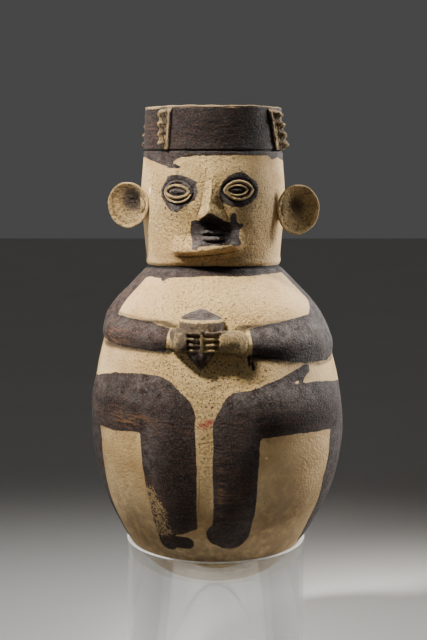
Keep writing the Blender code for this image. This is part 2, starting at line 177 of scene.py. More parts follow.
@dataclass
class Skin:
    """The smooth outer face of the urn, before any relief is laid on it."""

    bottom: float = 110.0
    tube_top: float = 150.0
    neck: float = 427.0
    top: float = 579.5
    wall: float = 7.0
    rim_radius: float = 66.5
    rim_edge: float = 1.5
    steps: int = 24
    body: Stations = ((0.0, 110.0), (25.0, 112.0), (45.0, 116.5), (62.0, 125.5), (85.5, 150.0),
                      (103.2, 179.0), (117.0, 212.0), (125.8, 262.0), (123.5, 300.0),
                      (113.5, 348.0), (99.0, 388.0), (80.0, 411.0), (64.8, 427.0))
    head: Stations = ((64.8, 427.0), (65.8, 433.0), (68.0, 455.0), (70.8, 496.0),
                      (68.6, 530.0), (66.5, 578.0))
    drift: Stations = ((0.0, 110.0), (0.0, 150.0), (2.0, 225.0), (0.0, 350.0),
                       (-2.2, 427.0), (-2.6, 579.5))
    row_spacing: Stations = ((110.0, 3.3), (420.0, 3.0), (424.0, 1.6), (436.0, 1.6),
                             (450.0, 1.5), (453.0, 1.0), (466.0, 1.0), (469.0, 1.3),
                             (484.0, 1.3), (487.0, 0.8), (511.0, 0.8), (514.0, 2.0),
                             (533.0, 2.0), (535.0, 0.6), (540.0, 0.6), (542.0, 1.2),
                             (578.0, 1.2))
    inner_spacing: float = 18.0
    lines: dict[str, np.ndarray] = field(init=False)

    def __post_init__(self) -> None:
        """Work out the smooth lines once."""
        body = smooth_line(self.body, self.steps, level_start=True)
        head = smooth_line(self.head, self.steps)
        self.lines = {"body": body, "head": head, "outer": np.vstack([body, head[1:]]),
                      "drift": smooth_line(self.drift, self.steps)}

    def radius(self, height: np.ndarray) -> np.ndarray:
        """Return the radius of the outer face at heights."""
        return np.interp(height, self.lines["outer"][:, 1], self.lines["outer"][:, 0])

    def shift(self, height: np.ndarray) -> np.ndarray:
        """Return how far the hand-built axis leans towards +X at heights."""
        return np.interp(height, self.lines["drift"][:, 1], self.lines["drift"][:, 0])

    def outer_rows(self) -> np.ndarray:
        """Return (radius, height) rows of the outer face, closer together on the face.

        Returns:
            One row for each ring of points, from the bottom up.
        """
        line = self.lines["outer"]
        runs = np.linalg.norm(np.diff(line, axis=0), axis=1)
        heights = (line[1:, 1] + line[:-1, 1]) / 2.0
        spacing = np.array(self.row_spacing)
        steps = runs / np.interp(heights, spacing[:, 0], spacing[:, 1])
        marks = np.concatenate([[0.0], np.cumsum(steps)])
        places = np.linspace(0.0, marks[-1], round(marks[-1]) + 1)
        return np.column_stack([np.interp(places, marks, line[:, i]) for i in (0, 1)])

    def inner_rows(self) -> np.ndarray:
        """Return (radius, height) rows of the hollow, from the rim down to its floor.

        Returns:
            One row for each ring of points.
        """
        body = self.lines["body"]
        along = body[2:] - body[:-2]
        along /= np.linalg.norm(along, axis=1)[:, None]
        inside = body[1:-1] + np.column_stack([-along[:, 1], along[:, 0]]) * self.wall
        inside = np.vstack([[0.0, self.bottom + self.wall], inside])
        line = np.vstack([inside, self.lines["head"] - (self.wall, 0.0)])[::-1]
        marks = np.concatenate([[0.0], np.cumsum(np.linalg.norm(np.diff(line, axis=0), axis=1))])
        places = np.linspace(0.0, marks[-1], round(marks[-1] / self.inner_spacing) + 1)
        return np.column_stack([np.interp(places, marks, line[:, i]) for i in (0, 1)])

    def polar(self, points: np.ndarray) -> tuple[np.ndarray, np.ndarray, np.ndarray]:
        """Return azimuths, heights and distances from the urn's own leaning axis.

        Args:
            points: Places about the upright axis, one row each.

        Returns:
            Three arrays: degrees, millimetres and millimetres.
        """
        side = points[:, 0] - self.shift(points[:, 2])
        return (np.degrees(np.arctan2(side, -points[:, 1])), points[:, 2],
                np.hypot(side, points[:, 1]))

    def kept_in_wall(self, points: np.ndarray, bury: float = 4.0) -> np.ndarray:
        """Return points moved out, where need be, so that none reaches the hollow.

        Args:
            points: Places about the upright axis, one row each.
            bury: How deep in the wall a point may lie.

        Returns:
            The points, one row each.
        """
        azimuth, height, reach = self.polar(points)
        least = np.maximum(reach, self.radius(height) - bury)
        turn = np.radians(azimuth)
        return np.column_stack([self.shift(height) + least * np.sin(turn),
                                -least * np.cos(turn), height])


SKIN = Skin()


def bar(azimuth: np.ndarray, height: np.ndarray, stations: Stations, butt: bool = False
        ) -> tuple[np.ndarray, np.ndarray, np.ndarray]:
    """Measure a bar of changing width that is laid along stations on the skin.

    Args:
        azimuth: Azimuths of the places to measure from.
        height: Heights of those places.
        stations: (azimuth, height, half width, and perhaps one value more) along the bar.
        butt: Whether the last end is cut square instead of round.

    Returns:
        How far inside the bar's edge each place is, its distance from the middle line as a
        share of the half width, and the stations' last value there.
    """
    reach = SKIN.radius(height)
    inside = np.full(azimuth.shape, -FAR)
    share = np.full(azimuth.shape, FAR)
    value = np.zeros(azimuth.shape)
    pairs = list(zip(stations, stations[1:]))
    for index, (a, b) in enumerate(pairs):
        ax, ay = np.radians(a[0] - azimuth) * reach, a[1] - height
        rx, ry = np.radians(b[0] - a[0]) * reach, np.full(height.shape, b[1] - a[1])
        length = np.maximum(np.hypot(rx, ry), WELD)
        along = -(ax * rx + ay * ry) / length ** 2
        held = np.clip(along, 0.0, 1.0)
        width = a[2] + held * (b[2] - a[2])
        gap = np.hypot(ax + held * rx, ay + held * ry)
        here = width - gap
        if butt and index == len(pairs) - 1:
            across = np.hypot(ax + along * rx, ay + along * ry)
            beyond = (along - 1.0) * length
            here = np.where(beyond > 0.0, np.minimum(width - across, -beyond), here)
        better = here > inside
        inside = np.where(better, here, inside)
        nearer = gap / width < share
        share = np.where(nearer, gap / width, share)
        value = np.where(nearer, a[-1] + held * (b[-1] - a[-1]), value)
    return inside, share, value


def outline_depth(azimuth: np.ndarray, height: np.ndarray, outline: Stations) -> np.ndarray:
    """Return how far inside a closed outline on the skin each place is, in millimetres.

    Args:
        azimuth: Azimuths of the places.
        height: Heights of the places.
        outline: The (azimuth, height) corners of the outline.

    Returns:
        Millimetres, below zero outside the outline.
    """
    middle = float(np.mean([place[1] for place in outline]))
    scale = math.radians(1.0) * float(SKIN.radius(np.array(middle)))
    x, y = azimuth * scale, height
    nearest = np.full(azimuth.shape, FAR)
    inside = np.zeros(azimuth.shape, bool)
    for a, b in zip(outline, outline[1:] + outline[:1]):
        ax, ay, bx, by = a[0] * scale, a[1], b[0] * scale, b[1]
        rx, ry = bx - ax, by - ay
        held = np.clip(((x - ax) * rx + (y - ay) * ry) / (rx * rx + ry * ry), 0.0, 1.0)
        nearest = np.minimum(nearest, np.hypot(x - ax - held * rx, y - ay - held * ry))
        if ay != by:
            crosses = (ay > y) != (by > y)
            inside ^= crosses & (x < ax + (y - ay) / (by - ay) * rx)
    return np.where(inside, nearest, -nearest)


def above(azimuth: np.ndarray, height: np.ndarray, line: Stations) -> np.ndarray:
    """Return how far above a line of (azimuth, height) each place is."""
    return height - np.interp(azimuth, [p[0] for p in line], [p[1] for p in line])


def almond(centre: Station, half_width: float, half_height: float, pointed: float,
           steps: int = 28) -> Stations:
    """Return an almond-shaped outline on the skin of the face.

    Args:
        centre: Azimuth and height of its middle.
        half_width: Half its width in millimetres.
        half_height: Half its height in millimetres.
        pointed: How pointed its ends are, from 0 for an oval.
        steps: How many corners it has.

    Returns:
        The (azimuth, height) corners of the outline.
    """
    scale = math.degrees(1.0 / float(SKIN.radius(np.array(centre[1]))))
    places = []
    for index in range(steps):
        turn = 2.0 * math.pi * index / steps
        rise = math.sin(turn)
        places.append((centre[0] + scale * half_width * math.cos(turn),
                       centre[1] + half_height * rise * abs(rise) ** pointed))
    return tuple(places)


def bell(distance: np.ndarray, width: float) -> np.ndarray:
    """Return a smooth bump of height one."""
    return np.exp(-(distance / width) ** 2)


def ramp(value: np.ndarray, low: float, high: float) -> np.ndarray:
    """Return a smooth rise from 0 at low to 1 at high."""
    share = np.clip((value - low) / (high - low), 0.0, 1.0)
    return share * share * (3.0 - 2.0 * share)


@dataclass(frozen=True)
class Eye:
    """A lidded eye: a ring round the pupil, and an outer lid line that opens below it."""

    ring: Stations
    lid: Stations
    pupil: Stations
    ring_half_width: float
    lid_half_width: float
    lid_bare_below: float = 600.0
    ring_relief: float = 1.8
    lid_relief: float = 1.7
    pupil_relief: float = 2.0
    soft: float = 0.3
    socket_depth: float = 0.8
    groove_depth: float = 0.7
    groove_away: float = 2.4
    groove_width: float = 1.1

    def relief(self, azimuth: np.ndarray, height: np.ndarray) -> np.ndarray:
        """Return how far the eye stands proud of the face.

        Args:
            azimuth: Azimuths of the places.
            height: Heights of the places.

        Returns:
            Millimetres at each place.
        """
        heights = [self.pupil_relief * ramp(outline_depth(azimuth, height, self.pupil),
                                            -0.6, 4.5)]
        for line, half_width, proud in ((self.ring, self.ring_half_width, self.ring_relief),
                                        (self.lid, self.lid_half_width, self.lid_relief)):
            share = np.abs(outline_depth(azimuth, height, line)) / (half_width + self.soft)
            heights.append(proud * np.sqrt(np.clip(1.0 - share ** 2, 0.0, 1.0)))
        return np.maximum.reduce(heights)

    def socket(self, azimuth: np.ndarray, height: np.ndarray) -> np.ndarray:
        """Return how deep the socket is pressed, with a groove just outside the lid line.

        Args:
            azimuth: Azimuths of the places.
            height: Heights of the places.

        Returns:
            Millimetres at each place.
        """
        depth = outline_depth(azimuth, height, self.lid)
        groove = self.groove_depth * bell(depth + self.groove_away, self.groove_width)
        return self.socket_depth * ramp(depth, -2.2, 0.4) + groove

    def bare(self, azimuth: np.ndarray, height: np.ndarray) -> np.ndarray:
        """Return how far inside the unpainted rings each place is.

        Args:
            azimuth: Azimuths of the places.
            height: Heights of the places.

        Returns:
            Millimetres, below zero outside the rings.
        """
        ring = self.ring_half_width - np.abs(outline_depth(azimuth, height, self.ring))
        lid = self.lid_half_width - np.abs(outline_depth(azimuth, height, self.lid))
        return np.maximum(ring, np.minimum(lid, self.lid_bare_below - height))


@dataclass(frozen=True)
class CrimpedStrip:
    """A strip of clay pressed on the cap, with one edge pinched into teeth.

    Its two ends are pairs of azimuths, of the plain edge and of the toothed one.
    """

    head: Station
    foot: Station
    low: float = 538.0
    high: float = 575.5
    teeth: int = 4
    tooth: float = 3.2
    plain_relief: float = 2.2
    toothed_relief: float = 4.8
    splay: float = 0.0
    curl: float = 1.5
    point: float = 0.5
    bead: float = 0.9
    thumbed: float = 0.5
    knob: float = 1.3

    def places(self, azimuth: np.ndarray, height: np.ndarray
               ) -> tuple[np.ndarray, np.ndarray, np.ndarray]:
        """Return the share up the strip, the share across it and its width there.

        Args:
            azimuth: Azimuths of the places.
            height: Heights of the places.

        Returns:
            Two shares, each from 0 to 1 on the strip, and a width in millimetres.
        """
        up = (height - self.low) / (self.high - self.low)
        held = np.clip(up, 0.0, 1.0)
        plain = self.foot[0] + held * (self.head[0] - self.foot[0])
        toothed = self.foot[1] + held * (self.head[1] - self.foot[1])
        width = np.radians(np.abs(toothed - plain)) * SKIN.radius(height)
        return up, (azimuth - plain) / (toothed - plain), width

    def depth(self, azimuth: np.ndarray, height: np.ndarray) -> np.ndarray:
        """Return how far inside the strip's edge each place is, in millimetres.

        Args:
            azimuth: Azimuths of the places.
            height: Heights of the places.

        Returns:
            Millimetres, below zero beside the strip.
        """
        up, across, width = self.places(azimuth, height)
        pinch = np.abs(((up * self.teeth) % 1.0) - 0.5) * 2.0
        tooth = self.tooth * (np.sqrt(np.clip(1.0 - pinch, 0.0, 1.0)) - 0.6)
        pointed = self.point + (1.0 - self.point) * ramp(up, -0.02, 0.2)
        ends = np.minimum(height - self.low, self.high - height)
        return np.minimum.reduce([across * width, pointed * width + tooth - across * width,
                                  ends])

    def relief(self, azimuth: np.ndarray, height: np.ndarray) -> np.ndarray:
        """Return how far the strip stands proud of the cap, thumbed hollow along its middle.

        Args:
            azimuth: Azimuths of the places.
            height: Heights of the places.

        Returns:
            Millimetres at each place.
        """
        up, across, width = self.places(azimuth, height)
        tall = self.toothed_relief + self.splay * (1.0 - up)
        rise = self.plain_relief + ramp(across, 0.45, 0.95) * (tall - self.plain_relief)
        rise += self.bead * bell(across * width - 1.3, 0.9)
        rise -= self.thumbed * bell(across - 0.35, 0.2)
        beat = (up * self.teeth) % 1.0
        rise += self.curl * np.cos(2.0 * math.pi * (beat - 0.62)) * ramp(across, 0.45, 0.8)
        rise += self.knob * bell(beat - 0.78, 0.13) * bell(across - 0.62, 0.13)
        torn = 0.4 * np.sin(height * 0.83 + azimuth * 1.9) + 0.35 * np.sin(azimuth * 2.7)
        return (rise + torn) * ramp(self.depth(azimuth, height), -0.9, 0.6)


@dataclass(frozen=True)
class Relief:
    """Everything that is raised from, or pressed into, the skin of the vessel."""

    left_arm: Stations = ((-76.0, 410.0, 7.0, 0.8), (-82.0, 396.0, 12.0, 2.5),
                          (-83.0, 380.0, 15.0, 4.5), (-75.0, 369.0, 15.0, 5.0),
                          (-60.0, 368.0, 13.5, 4.5), (-44.0, 368.0, 12.5, 4.5),
                          (-31.0, 367.5, 12.0, 5.0), (-23.0, 367.0, 10.5, 6.0))
    right_arm: Stations = ((80.0, 409.0, 7.0, 0.5), (84.0, 393.0, 12.0, 1.0),
                           (86.0, 374.0, 16.0, 2.8), (79.0, 358.0, 19.0, 5.0),
                           (61.0, 358.5, 20.5, 5.0), (40.0, 361.5, 17.5, 4.8),
                           (25.0, 363.5, 14.0, 5.0), (14.0, 364.0, 11.5, 6.0))
    left_leg: Stations = ((-74.0, 301.0, 25.0, 2.6), (-50.0, 303.0, 27.0, 3.0),
                          (-26.0, 303.0, 27.0, 3.4), (-21.5, 190.0, 24.0, 3.0),
                          (-21.5, 176.0, 21.0, 2.2))
    right_leg: Stations = ((66.0, 296.0, 23.0, 2.6), (35.0, 301.0, 23.0, 3.0),
                           (11.0, 300.0, 23.0, 3.4), (7.4, 204.0, 20.5, 3.0),
                           (6.0, 180.0, 19.0, 2.2))
    knees: Stations = ((-30.0, 322.0, 20.0, 1.6), (8.5, 314.0, 19.0, 1.4))
    nose: Stations = ((519.0, -4.5, 2.5, -1.4, 0.2), (510.0, -6.0, 4.2, -1.0, 2.8),
                      (503.0, -7.4, 5.4, -1.6, 5.4), (490.0, -9.6, 8.2, -2.8, 10.2),
                      (484.0, -11.6, 10.6, -3.3, 13.4), (480.6, -12.6, 11.8, -3.4, 14.0),
                      (478.4, -13.0, 12.4, -3.3, 12.6), (475.5, -12.6, 12.2, -3.0, 6.4),
                      (471.5, -11.0, 10.5, -2.6, 0.4))
    nose_ridge: float = -3.4
    nose_reach: float = 14.0
    nose_fall: float = 7.0
    nose_wings: Station = (484.0, 500.0)
    nose_sharpness: float = 1.15
    jaw: Stations = ((-42.0, 443.5, 0.0), (-37.0, 444.0, 0.8), (-30.0, 444.0, 4.5),
                     (-18.0, 444.0, 8.0), (-6.0, 445.5, 9.0), (6.0, 447.5, 9.0),
                     (17.0, 449.5, 6.0), (25.0, 451.0, 1.0), (30.0, 451.5, 0.0))
    jaw_section: Stations = ((-13.0, 0.0), (-6.0, 0.32), (-1.6, 0.93), (0.6, 1.0),
                             (3.0, 0.9), (7.0, 0.62), (15.0, 0.02))
    upper_lip: Stations = ((-9.0, 461.0, 1.3, 0.4), (-5.0, 462.2, 2.5, 3.4),
                           (3.0, 462.2, 2.5, 3.4), (9.5, 461.0, 1.3, 0.4))
    lower_lip: Stations = ((-9.0, 457.5, 1.3, 0.4), (-4.5, 456.4, 2.5, 3.8),
                           (3.5, 456.4, 2.5, 3.8), (10.5, 457.5, 1.3, 0.4))
    mouth_slit: Stations = ((-7.5, 459.4, 1.0, 2.0), (8.0, 459.2, 1.0, 2.0))
    eyes: tuple[Eye, ...] = (
        Eye(ring=almond((-28.8, 499.6), 12.4, 5.7, 0.12),
            lid=almond((-28.4, 499.2), 14.4, 9.6, 0.12),
            pupil=almond((-28.6, 499.6), 10.2, 4.4, 0.0),
            ring_half_width=1.5, lid_half_width=0.9, lid_bare_below=497.5),
        Eye(ring=almond((18.6, 501.0), 10.2, 4.6, 0.30),
            lid=almond((20.0, 501.0), 14.0, 8.2, 0.42),
            pupil=almond((18.4, 501.0), 8.2, 3.4, 0.0),
            ring_half_width=0.9, lid_half_width=1.4))
    strips: tuple[CrimpedStrip, ...] = (
        CrimpedStrip((-36.0, -47.2), (-38.2, -46.5), tooth=1.2, curl=0.7),
        CrimpedStrip((51.5, 64.0), (59.5, 77.0), splay=2.4, point=0.8),
        CrimpedStrip((-122.0, -109.5), (-118.0, -105.5), splay=1.4),
        CrimpedStrip((130.0, 117.0), (130.0, 117.0)))
    rings: Stations = ((537.5, 1.0, -1.2), (431.5, 3.0, 1.1), (426.0, 1.6, -1.0))
    crease_lift: float = 3.0
    arm_spill: float = 1.12
    leg_spill: float = 1.22
    limb_swell: float = 1.12
    face_swell: float = 0.8
    face_half_width: float = 58.0
    face_low: Station = (430.0, 436.0)
    face_high: Station = (516.0, 532.0)
    waves: Stations = ((3.0, 37.0, 0.0, 1.0), (5.0, -23.0, 1.3, 1.0), (2.0, 61.0, 2.1, 1.0),
                       (11.0, 9.0, 0.4, 0.6), (17.0, -6.5, 3.0, 0.5))
    wave_height: float = 0.16

    def nose_relief(self, azimuth: np.ndarray, height: np.ndarray) -> np.ndarray:
        """Return how far the wedge of the nose stands proud of the face.

        Args:
            azimuth: Azimuths of the places.
            height: Heights of the places.

        Returns:
            Millimetres at each place.
        """
        rows = np.array(self.nose[::-1])
        from_ridge = np.abs(azimuth - self.nose_ridge) / self.nose_reach
        height = height + self.nose_fall * np.clip(from_ridge, 0.0, 1.0) * (
            1.0 - ramp(height, *self.nose_wings))
        left, right, ridge, proud = (np.interp(height, rows[:, 0], rows[:, i])
                                     for i in range(1, 5))
        side = np.where(azimuth < ridge, (ridge - azimuth) / (ridge - left),
                        (azimuth - ridge) / (right - ridge))
        wing = np.clip(1.0 - side, 0.0, 1.0)
        within = (height > rows[0, 0]) & (height < rows[-1, 0])
        return np.where(within, proud * wing ** self.nose_sharpness, 0.0)

    def jaw_relief(self, azimuth: np.ndarray, height: np.ndarray) -> np.ndarray:
        """Return how far the ledge of the jaw stands proud of the face.

        Args:
            azimuth: Azimuths of the places.
            height: Heights of the places.

        Returns:
            Millimetres at each place.
        """
        rows, section = np.array(self.jaw), np.array(self.jaw_section)
        edge = np.interp(azimuth, rows[:, 0], rows[:, 1])
        proud = np.interp(azimuth, rows[:, 0], rows[:, 2])
        return proud * np.interp(height - edge, section[:, 0], section[:, 1])

    def limbs(self, azimuth: np.ndarray, height: np.ndarray) -> np.ndarray:
        """Return how far the arms and legs stand proud of the body.

        Args:
            azimuth: Azimuths of the places.
            height: Heights of the places.

        Returns:
            Millimetres at each place.
        """
        raised = np.zeros(azimuth.shape)
        for path, spill in ((self.left_arm, self.arm_spill), (self.right_arm, self.arm_spill),
                            (self.left_leg, self.leg_spill), (self.right_leg, self.leg_spill)):
            _, share, proud = bar(azimuth, height, path)
            round_section = np.clip(1.0 - (share / spill) ** 2, 0.0, 1.0) ** 1.5
            raised = np.maximum(raised, self.limb_swell * proud * round_section)
        return raised

    def at(self, azimuth: np.ndarray, height: np.ndarray) -> np.ndarray:
        """Return how far the finished surface stands proud of the plain skin.

        Args:
            azimuth: Azimuths of the places.
            height: Heights of the places.

        Returns:
            Millimetres at each place, below zero where it is pressed in.
        """
        raised = self.limbs(azimuth, height)
        for across, up, width, rise in self.knees:
            gap = np.hypot(np.radians(azimuth - across) * SKIN.radius(height), height - up)
            raised += rise * bell(gap, width)
        face = ramp(height, *self.face_low) * (1.0 - ramp(height, *self.face_high))
        raised += self.face_swell * bell(azimuth, self.face_half_width) ** 2 * face
        raised += self.nose_relief(azimuth, height)
        raised += self.jaw_relief(azimuth, height)
        lips = []
        for path in (self.upper_lip, self.lower_lip):
            _, share, proud = bar(azimuth, height, path)
            lips.append(proud * np.clip(1.0 - share ** 2, 0.0, 1.0) ** 0.7)
        raised += np.maximum.reduce(lips)
        _, share, depth = bar(azimuth, height, self.mouth_slit)
        raised -= depth * np.clip(1.0 - share ** 2, 0.0, 1.0)
        for eye in self.eyes:
            raised += eye.relief(azimuth, height) - eye.socket(azimuth, height)
        for strip in self.strips:
            raised += strip.relief(azimuth, height)
        for up, width, rise in self.rings:
            raised += rise * bell(height - up, width)
        return raised + self.unevenness(azimuth, height)

    def unevenness(self, azimuth: np.ndarray, height: np.ndarray) -> np.ndarray:
        """Return the slow waves that hand building leaves in the wall, mostly inwards.

        Args:
            azimuth: Azimuths of the places.
            height: Heights of the places.

        Returns:
            Millimetres at each place.
        """
        waves = sum(strength * np.sin(count * np.radians(azimuth) + height / length + start)
                    for count, length, start, strength in self.waves)
        return self.wave_height * (waves - 3.0)

    def lifted(self, azimuth: np.ndarray, height: np.ndarray) -> np.ndarray:
        """Return heights with the crease of the neck riding up a little in front."""
        front = np.clip(np.cos(np.radians(azimuth)), 0.0, 1.0) ** 2
        return height + (self.crease_lift * front - 0.8) * bell(height - SKIN.neck, 13.0)


@dataclass(frozen=True)
class Stroke:
    """A brush stroke of dark paint laid along stations of azimuth, height and half width."""

    stations: Stations
    haze_light_shade: float = 0.3
    wear: float = 0.2
    butt: bool = False
    top: float = 600.0

    def depth(self, azimuth: np.ndarray, height: np.ndarray) -> np.ndarray:
        """Return how far inside the stroke each place is, in millimetres."""
        return np.minimum(bar(azimuth, height, self.stations, self.butt)[0], self.top - height)


@dataclass(frozen=True)
class Patch:
    """An area of dark paint inside an outline of (azimuth, height) places."""

    outline: Stations
    haze_light_shade: float = 0.7
    wear: float = 0.1

    def depth(self, azimuth: np.ndarray, height: np.ndarray) -> np.ndarray:
        """Return how far inside the patch each place is, in millimetres."""
        return outline_depth(azimuth, height, self.outline)


@dataclass(frozen=True)
class Band:
    """An area of dark paint between two lines that run round the vessel."""

    low: Stations
    high: Stations
    haze_light_shade: float = 0.3
    wear: float = 0.3

    def depth(self, azimuth: np.ndarray, height: np.ndarray) -> np.ndarray:
        """Return how far inside the band each place is, in millimetres."""
        return np.minimum(above(azimuth, height, self.low), -above(azimuth, height, self.high))


@dataclass(frozen=True)
class SideStripe:
    """A stripe of dark paint down the side, from one azimuth to another at each height."""

    front: Stations
    back: float
    low: float = 157.0
    high: float = 300.0
    haze_light_shade: float = 0.45
    wear: float = 0.15

    def depth(self, azimuth: np.ndarray, height: np.ndarray) -> np.ndarray:
        """Return how far inside the stripe each place is, in millimetres.

        Args:
            azimuth: Azimuths of the places.
            height: Heights of the places.

        Returns:
            Millimetres, below zero beside the stripe.
        """
        rows = sorted((up, around) for around, up in self.front)
        edge = np.interp(height, [r[0] for r in rows], [r[1] for r in rows])
        way = 1.0 if self.back > 0.0 else -1.0
        scale = np.radians(1.0) * SKIN.radius(height)
        across = np.minimum((azimuth - edge) * way, (self.back - azimuth) * way) * scale
        return np.minimum.reduce([across, height - self.low, self.high - height])


@dataclass(frozen=True)
class Smudge:
    """A soft spot on the skin: its place, its half sizes and its strength."""

    azimuth: float
    height: float
    across: float
    up: float
    strength: float

    def at(self, azimuth: np.ndarray, height: np.ndarray) -> np.ndarray:
        """Return the smudge's strength at each place.

        Args:
            azimuth: Azimuths of the places.
            height: Heights of the places.

        Returns:
            Its strength, fading to 0 around it.
        """
        turn = (azimuth - self.azimuth + 180.0) % 360.0 - 180.0
        x = np.radians(turn) * SKIN.radius(height) / self.across
        y = (height - self.height) / self.up
        return self.strength * np.exp(-(x * x + y * y))


def smudged(spots: tuple[Smudge, ...], azimuth: np.ndarray, height: np.ndarray) -> np.ndarray:
    """Return the strength of all the smudges together at each place."""
    return sum(spot.at(azimuth, height) for spot in spots)


CAP = Band(
    low=((-180.0, 531.5), (-110.0, 530.5), (-74.0, 531.7), (-46.5, 525.1), (-34.5, 521.6),
         (-32.6, 527.5), (-25.9, 531.6), (-13.5, 532.5), (20.4, 533.4), (50.3, 532.6),
         (53.4, 529.2), (57.0, 529.6), (64.6, 531.3), (79.7, 527.9), (110.0, 531.5),
         (180.0, 531.5)),
    high=((-180.0, 577.4), (-60.0, 576.6), (-20.0, 577.8), (20.0, 577.0), (60.0, 578.4),
          (180.0, 577.4)), haze_light_shade=0.2, wear=0.14)

COLLAR = Band(
    low=((-180.0, 416.5), (-100.0, 417.0), (-65.2, 417.6), (-40.9, 417.9), (-6.1, 421.1),
         (19.5, 420.4), (40.9, 421.2), (77.6, 420.4), (120.0, 418.0), (180.0, 416.5)),
    high=((-180.0, 427.2), (-90.0, 427.0), (-50.0, 428.4), (0.0, 430.4), (50.0, 428.6),
          (90.0, 427.0), (180.0, 427.2)), haze_light_shade=0.35, wear=0.12)

PAINT: tuple[Stroke | Patch | Band | SideStripe, ...] = (
    CAP,
    COLLAR,
    Stroke(((-37.0, 524.0, 3.0), (-31.0, 523.2, 2.3), (-24.9, 521.8, 0.9)), haze_light_shade=0.6),
    Stroke(((-41.0, 418.2, 2.0), (-35.4, 413.8, 0.8)), haze_light_shade=0.7),
    # patches round the eyes and over the mouth
    Patch(((-37.6, 514.6), (-27.7, 515.7), (-19.3, 513.0), (-13.2, 509.2), (-11.1, 499.4),
           (-13.8, 492.2), (-20.5, 486.5), (-29.1, 479.9), (-34.6, 481.9), (-38.9, 486.8),
           (-43.6, 494.6), (-43.7, 501.7), (-39.8, 508.9))),
    Patch(((23.3, 518.2), (28.0, 514.7), (34.9, 508.3), (36.9, 502.6), (35.4, 494.8),
           (30.5, 489.2), (22.0, 485.1), (15.3, 485.5), (6.4, 489.5), (4.4, 494.4),
           (4.7, 502.1), (7.1, 509.8), (11.8, 514.8), (17.3, 517.3)), haze_light_shade=0.5),
    Patch(((-17.2, 472.3), (-14.0, 473.6), (-10.5, 473.0), (-7.6, 476.4), (-3.6, 480.2),
           (0.4, 479.2), (5.0, 475.6), (8.6, 473.0), (13.1, 471.0), (13.0, 476.7),
           (15.3, 480.2), (17.8, 478.7), (18.2, 472.3), (20.5, 469.3), (23.4, 470.4),
           (24.1, 467.9), (20.7, 463.6), (20.0, 457.9),
           (21.8, 450.6), (18.0, 448.9), (15.3, 450.8), (4.3, 450.3), (-10.4, 448.7),
           (-11.7, 445.9), (-16.1, 445.8), (-16.2, 454.4), (-18.1, 461.5), (-17.9, 467.3)),
          haze_light_shade=0.6),
    # arms
    Stroke(((-82.0, 430.0, 27.0), (-84.0, 405.0, 31.0), (-84.0, 385.0, 31.0),
            (-70.0, 369.5, 13.5), (-50.0, 368.0, 13.3), (-35.0, 367.5, 12.5),
            (-23.5, 365.0, 11.0)), haze_light_shade=0.4, wear=0.35, butt=True, top=427.0),
    Stroke(((98.0, 428.0, 33.0), (97.0, 400.0, 38.0), (92.0, 375.0, 33.0),
            (66.0, 360.5, 22.5), (44.0, 361.7, 19.8), (30.0, 363.0, 16.2),
            (17.0, 363.0, 13.0)), haze_light_shade=0.6, wear=0.2, butt=True, top=427.0),
    # legs, with heel and toe
    Stroke(((-95.0, 298.0, 20.5), (-72.0, 299.0, 23.0), (-52.0, 303.5, 27.2),
            (-36.0, 307.0, 26.6), (-28.0, 305.5, 27.8), (-22.0, 295.0, 27.5),
            (-21.5, 250.0, 27.4), (-21.3, 204.0, 23.0), (-21.0, 187.5, 21.0)),
           haze_light_shade=0.28, wear=0.25, butt=True),
    Stroke(((-28.5, 196.0, 8.0), (-27.0, 180.0, 10.0), (-27.5, 170.5, 9.5)), haze_light_shade=0.1,
           wear=0.3),
    Stroke(((-25.0, 172.6, 7.0), (-16.4, 171.6, 7.2)), haze_light_shade=0.1, wear=0.2),
    # drips of paint under the right wrist
    Stroke(((15.2, 351.0, 1.6), (15.5, 345.0, 1.1)), haze_light_shade=0.1, wear=0.3),
    Stroke(((16.9, 346.0, 1.2), (17.2, 339.5, 1.7)), haze_light_shade=0.1, wear=0.3),
    Stroke(((15.0, 341.6, 1.0), (15.6, 341.0, 0.8)), haze_light_shade=0.1, wear=0.3),
    Stroke(((80.0, 292.0, 22.0), (50.0, 299.5, 23.0), (35.0, 301.0, 22.5),
            (20.0, 300.0, 22.0), (11.0, 299.0, 22.0), (8.0, 288.0, 21.5),
            (7.35, 245.0, 21.0), (7.6, 204.0, 19.4), (7.2, 184.0, 18.0)),
           haze_light_shade=0.28, wear=0.22),
    Stroke(((1.2, 183.0, 12.5), (9.6, 178.5, 11.0)), haze_light_shade=0.28, wear=0.25),
    Stroke(((14.0, 313.0, 8.0), (27.0, 322.0, 6.4), (36.0, 329.0, 4.8), (45.0, 334.6, 5.0),
            (47.0, 335.4, 4.4)), haze_light_shade=0.5),
    Stroke(((43.0, 331.0, 4.0), (40.5, 323.0, 2.0)), haze_light_shade=0.5),
    # stripes down the sides
    SideStripe(((-66.0, 300.0), (-63.0, 262.0), (-64.1, 240.0), (-66.6, 201.5),
                (-66.7, 163.6)), back=-98.0),
    SideStripe(((60.0, 300.0), (58.0, 262.0), (57.8, 249.0), (56.6, 228.0), (58.2, 200.8),
                (58.5, 182.4), (61.3, 162.5)), back=95.0),
)

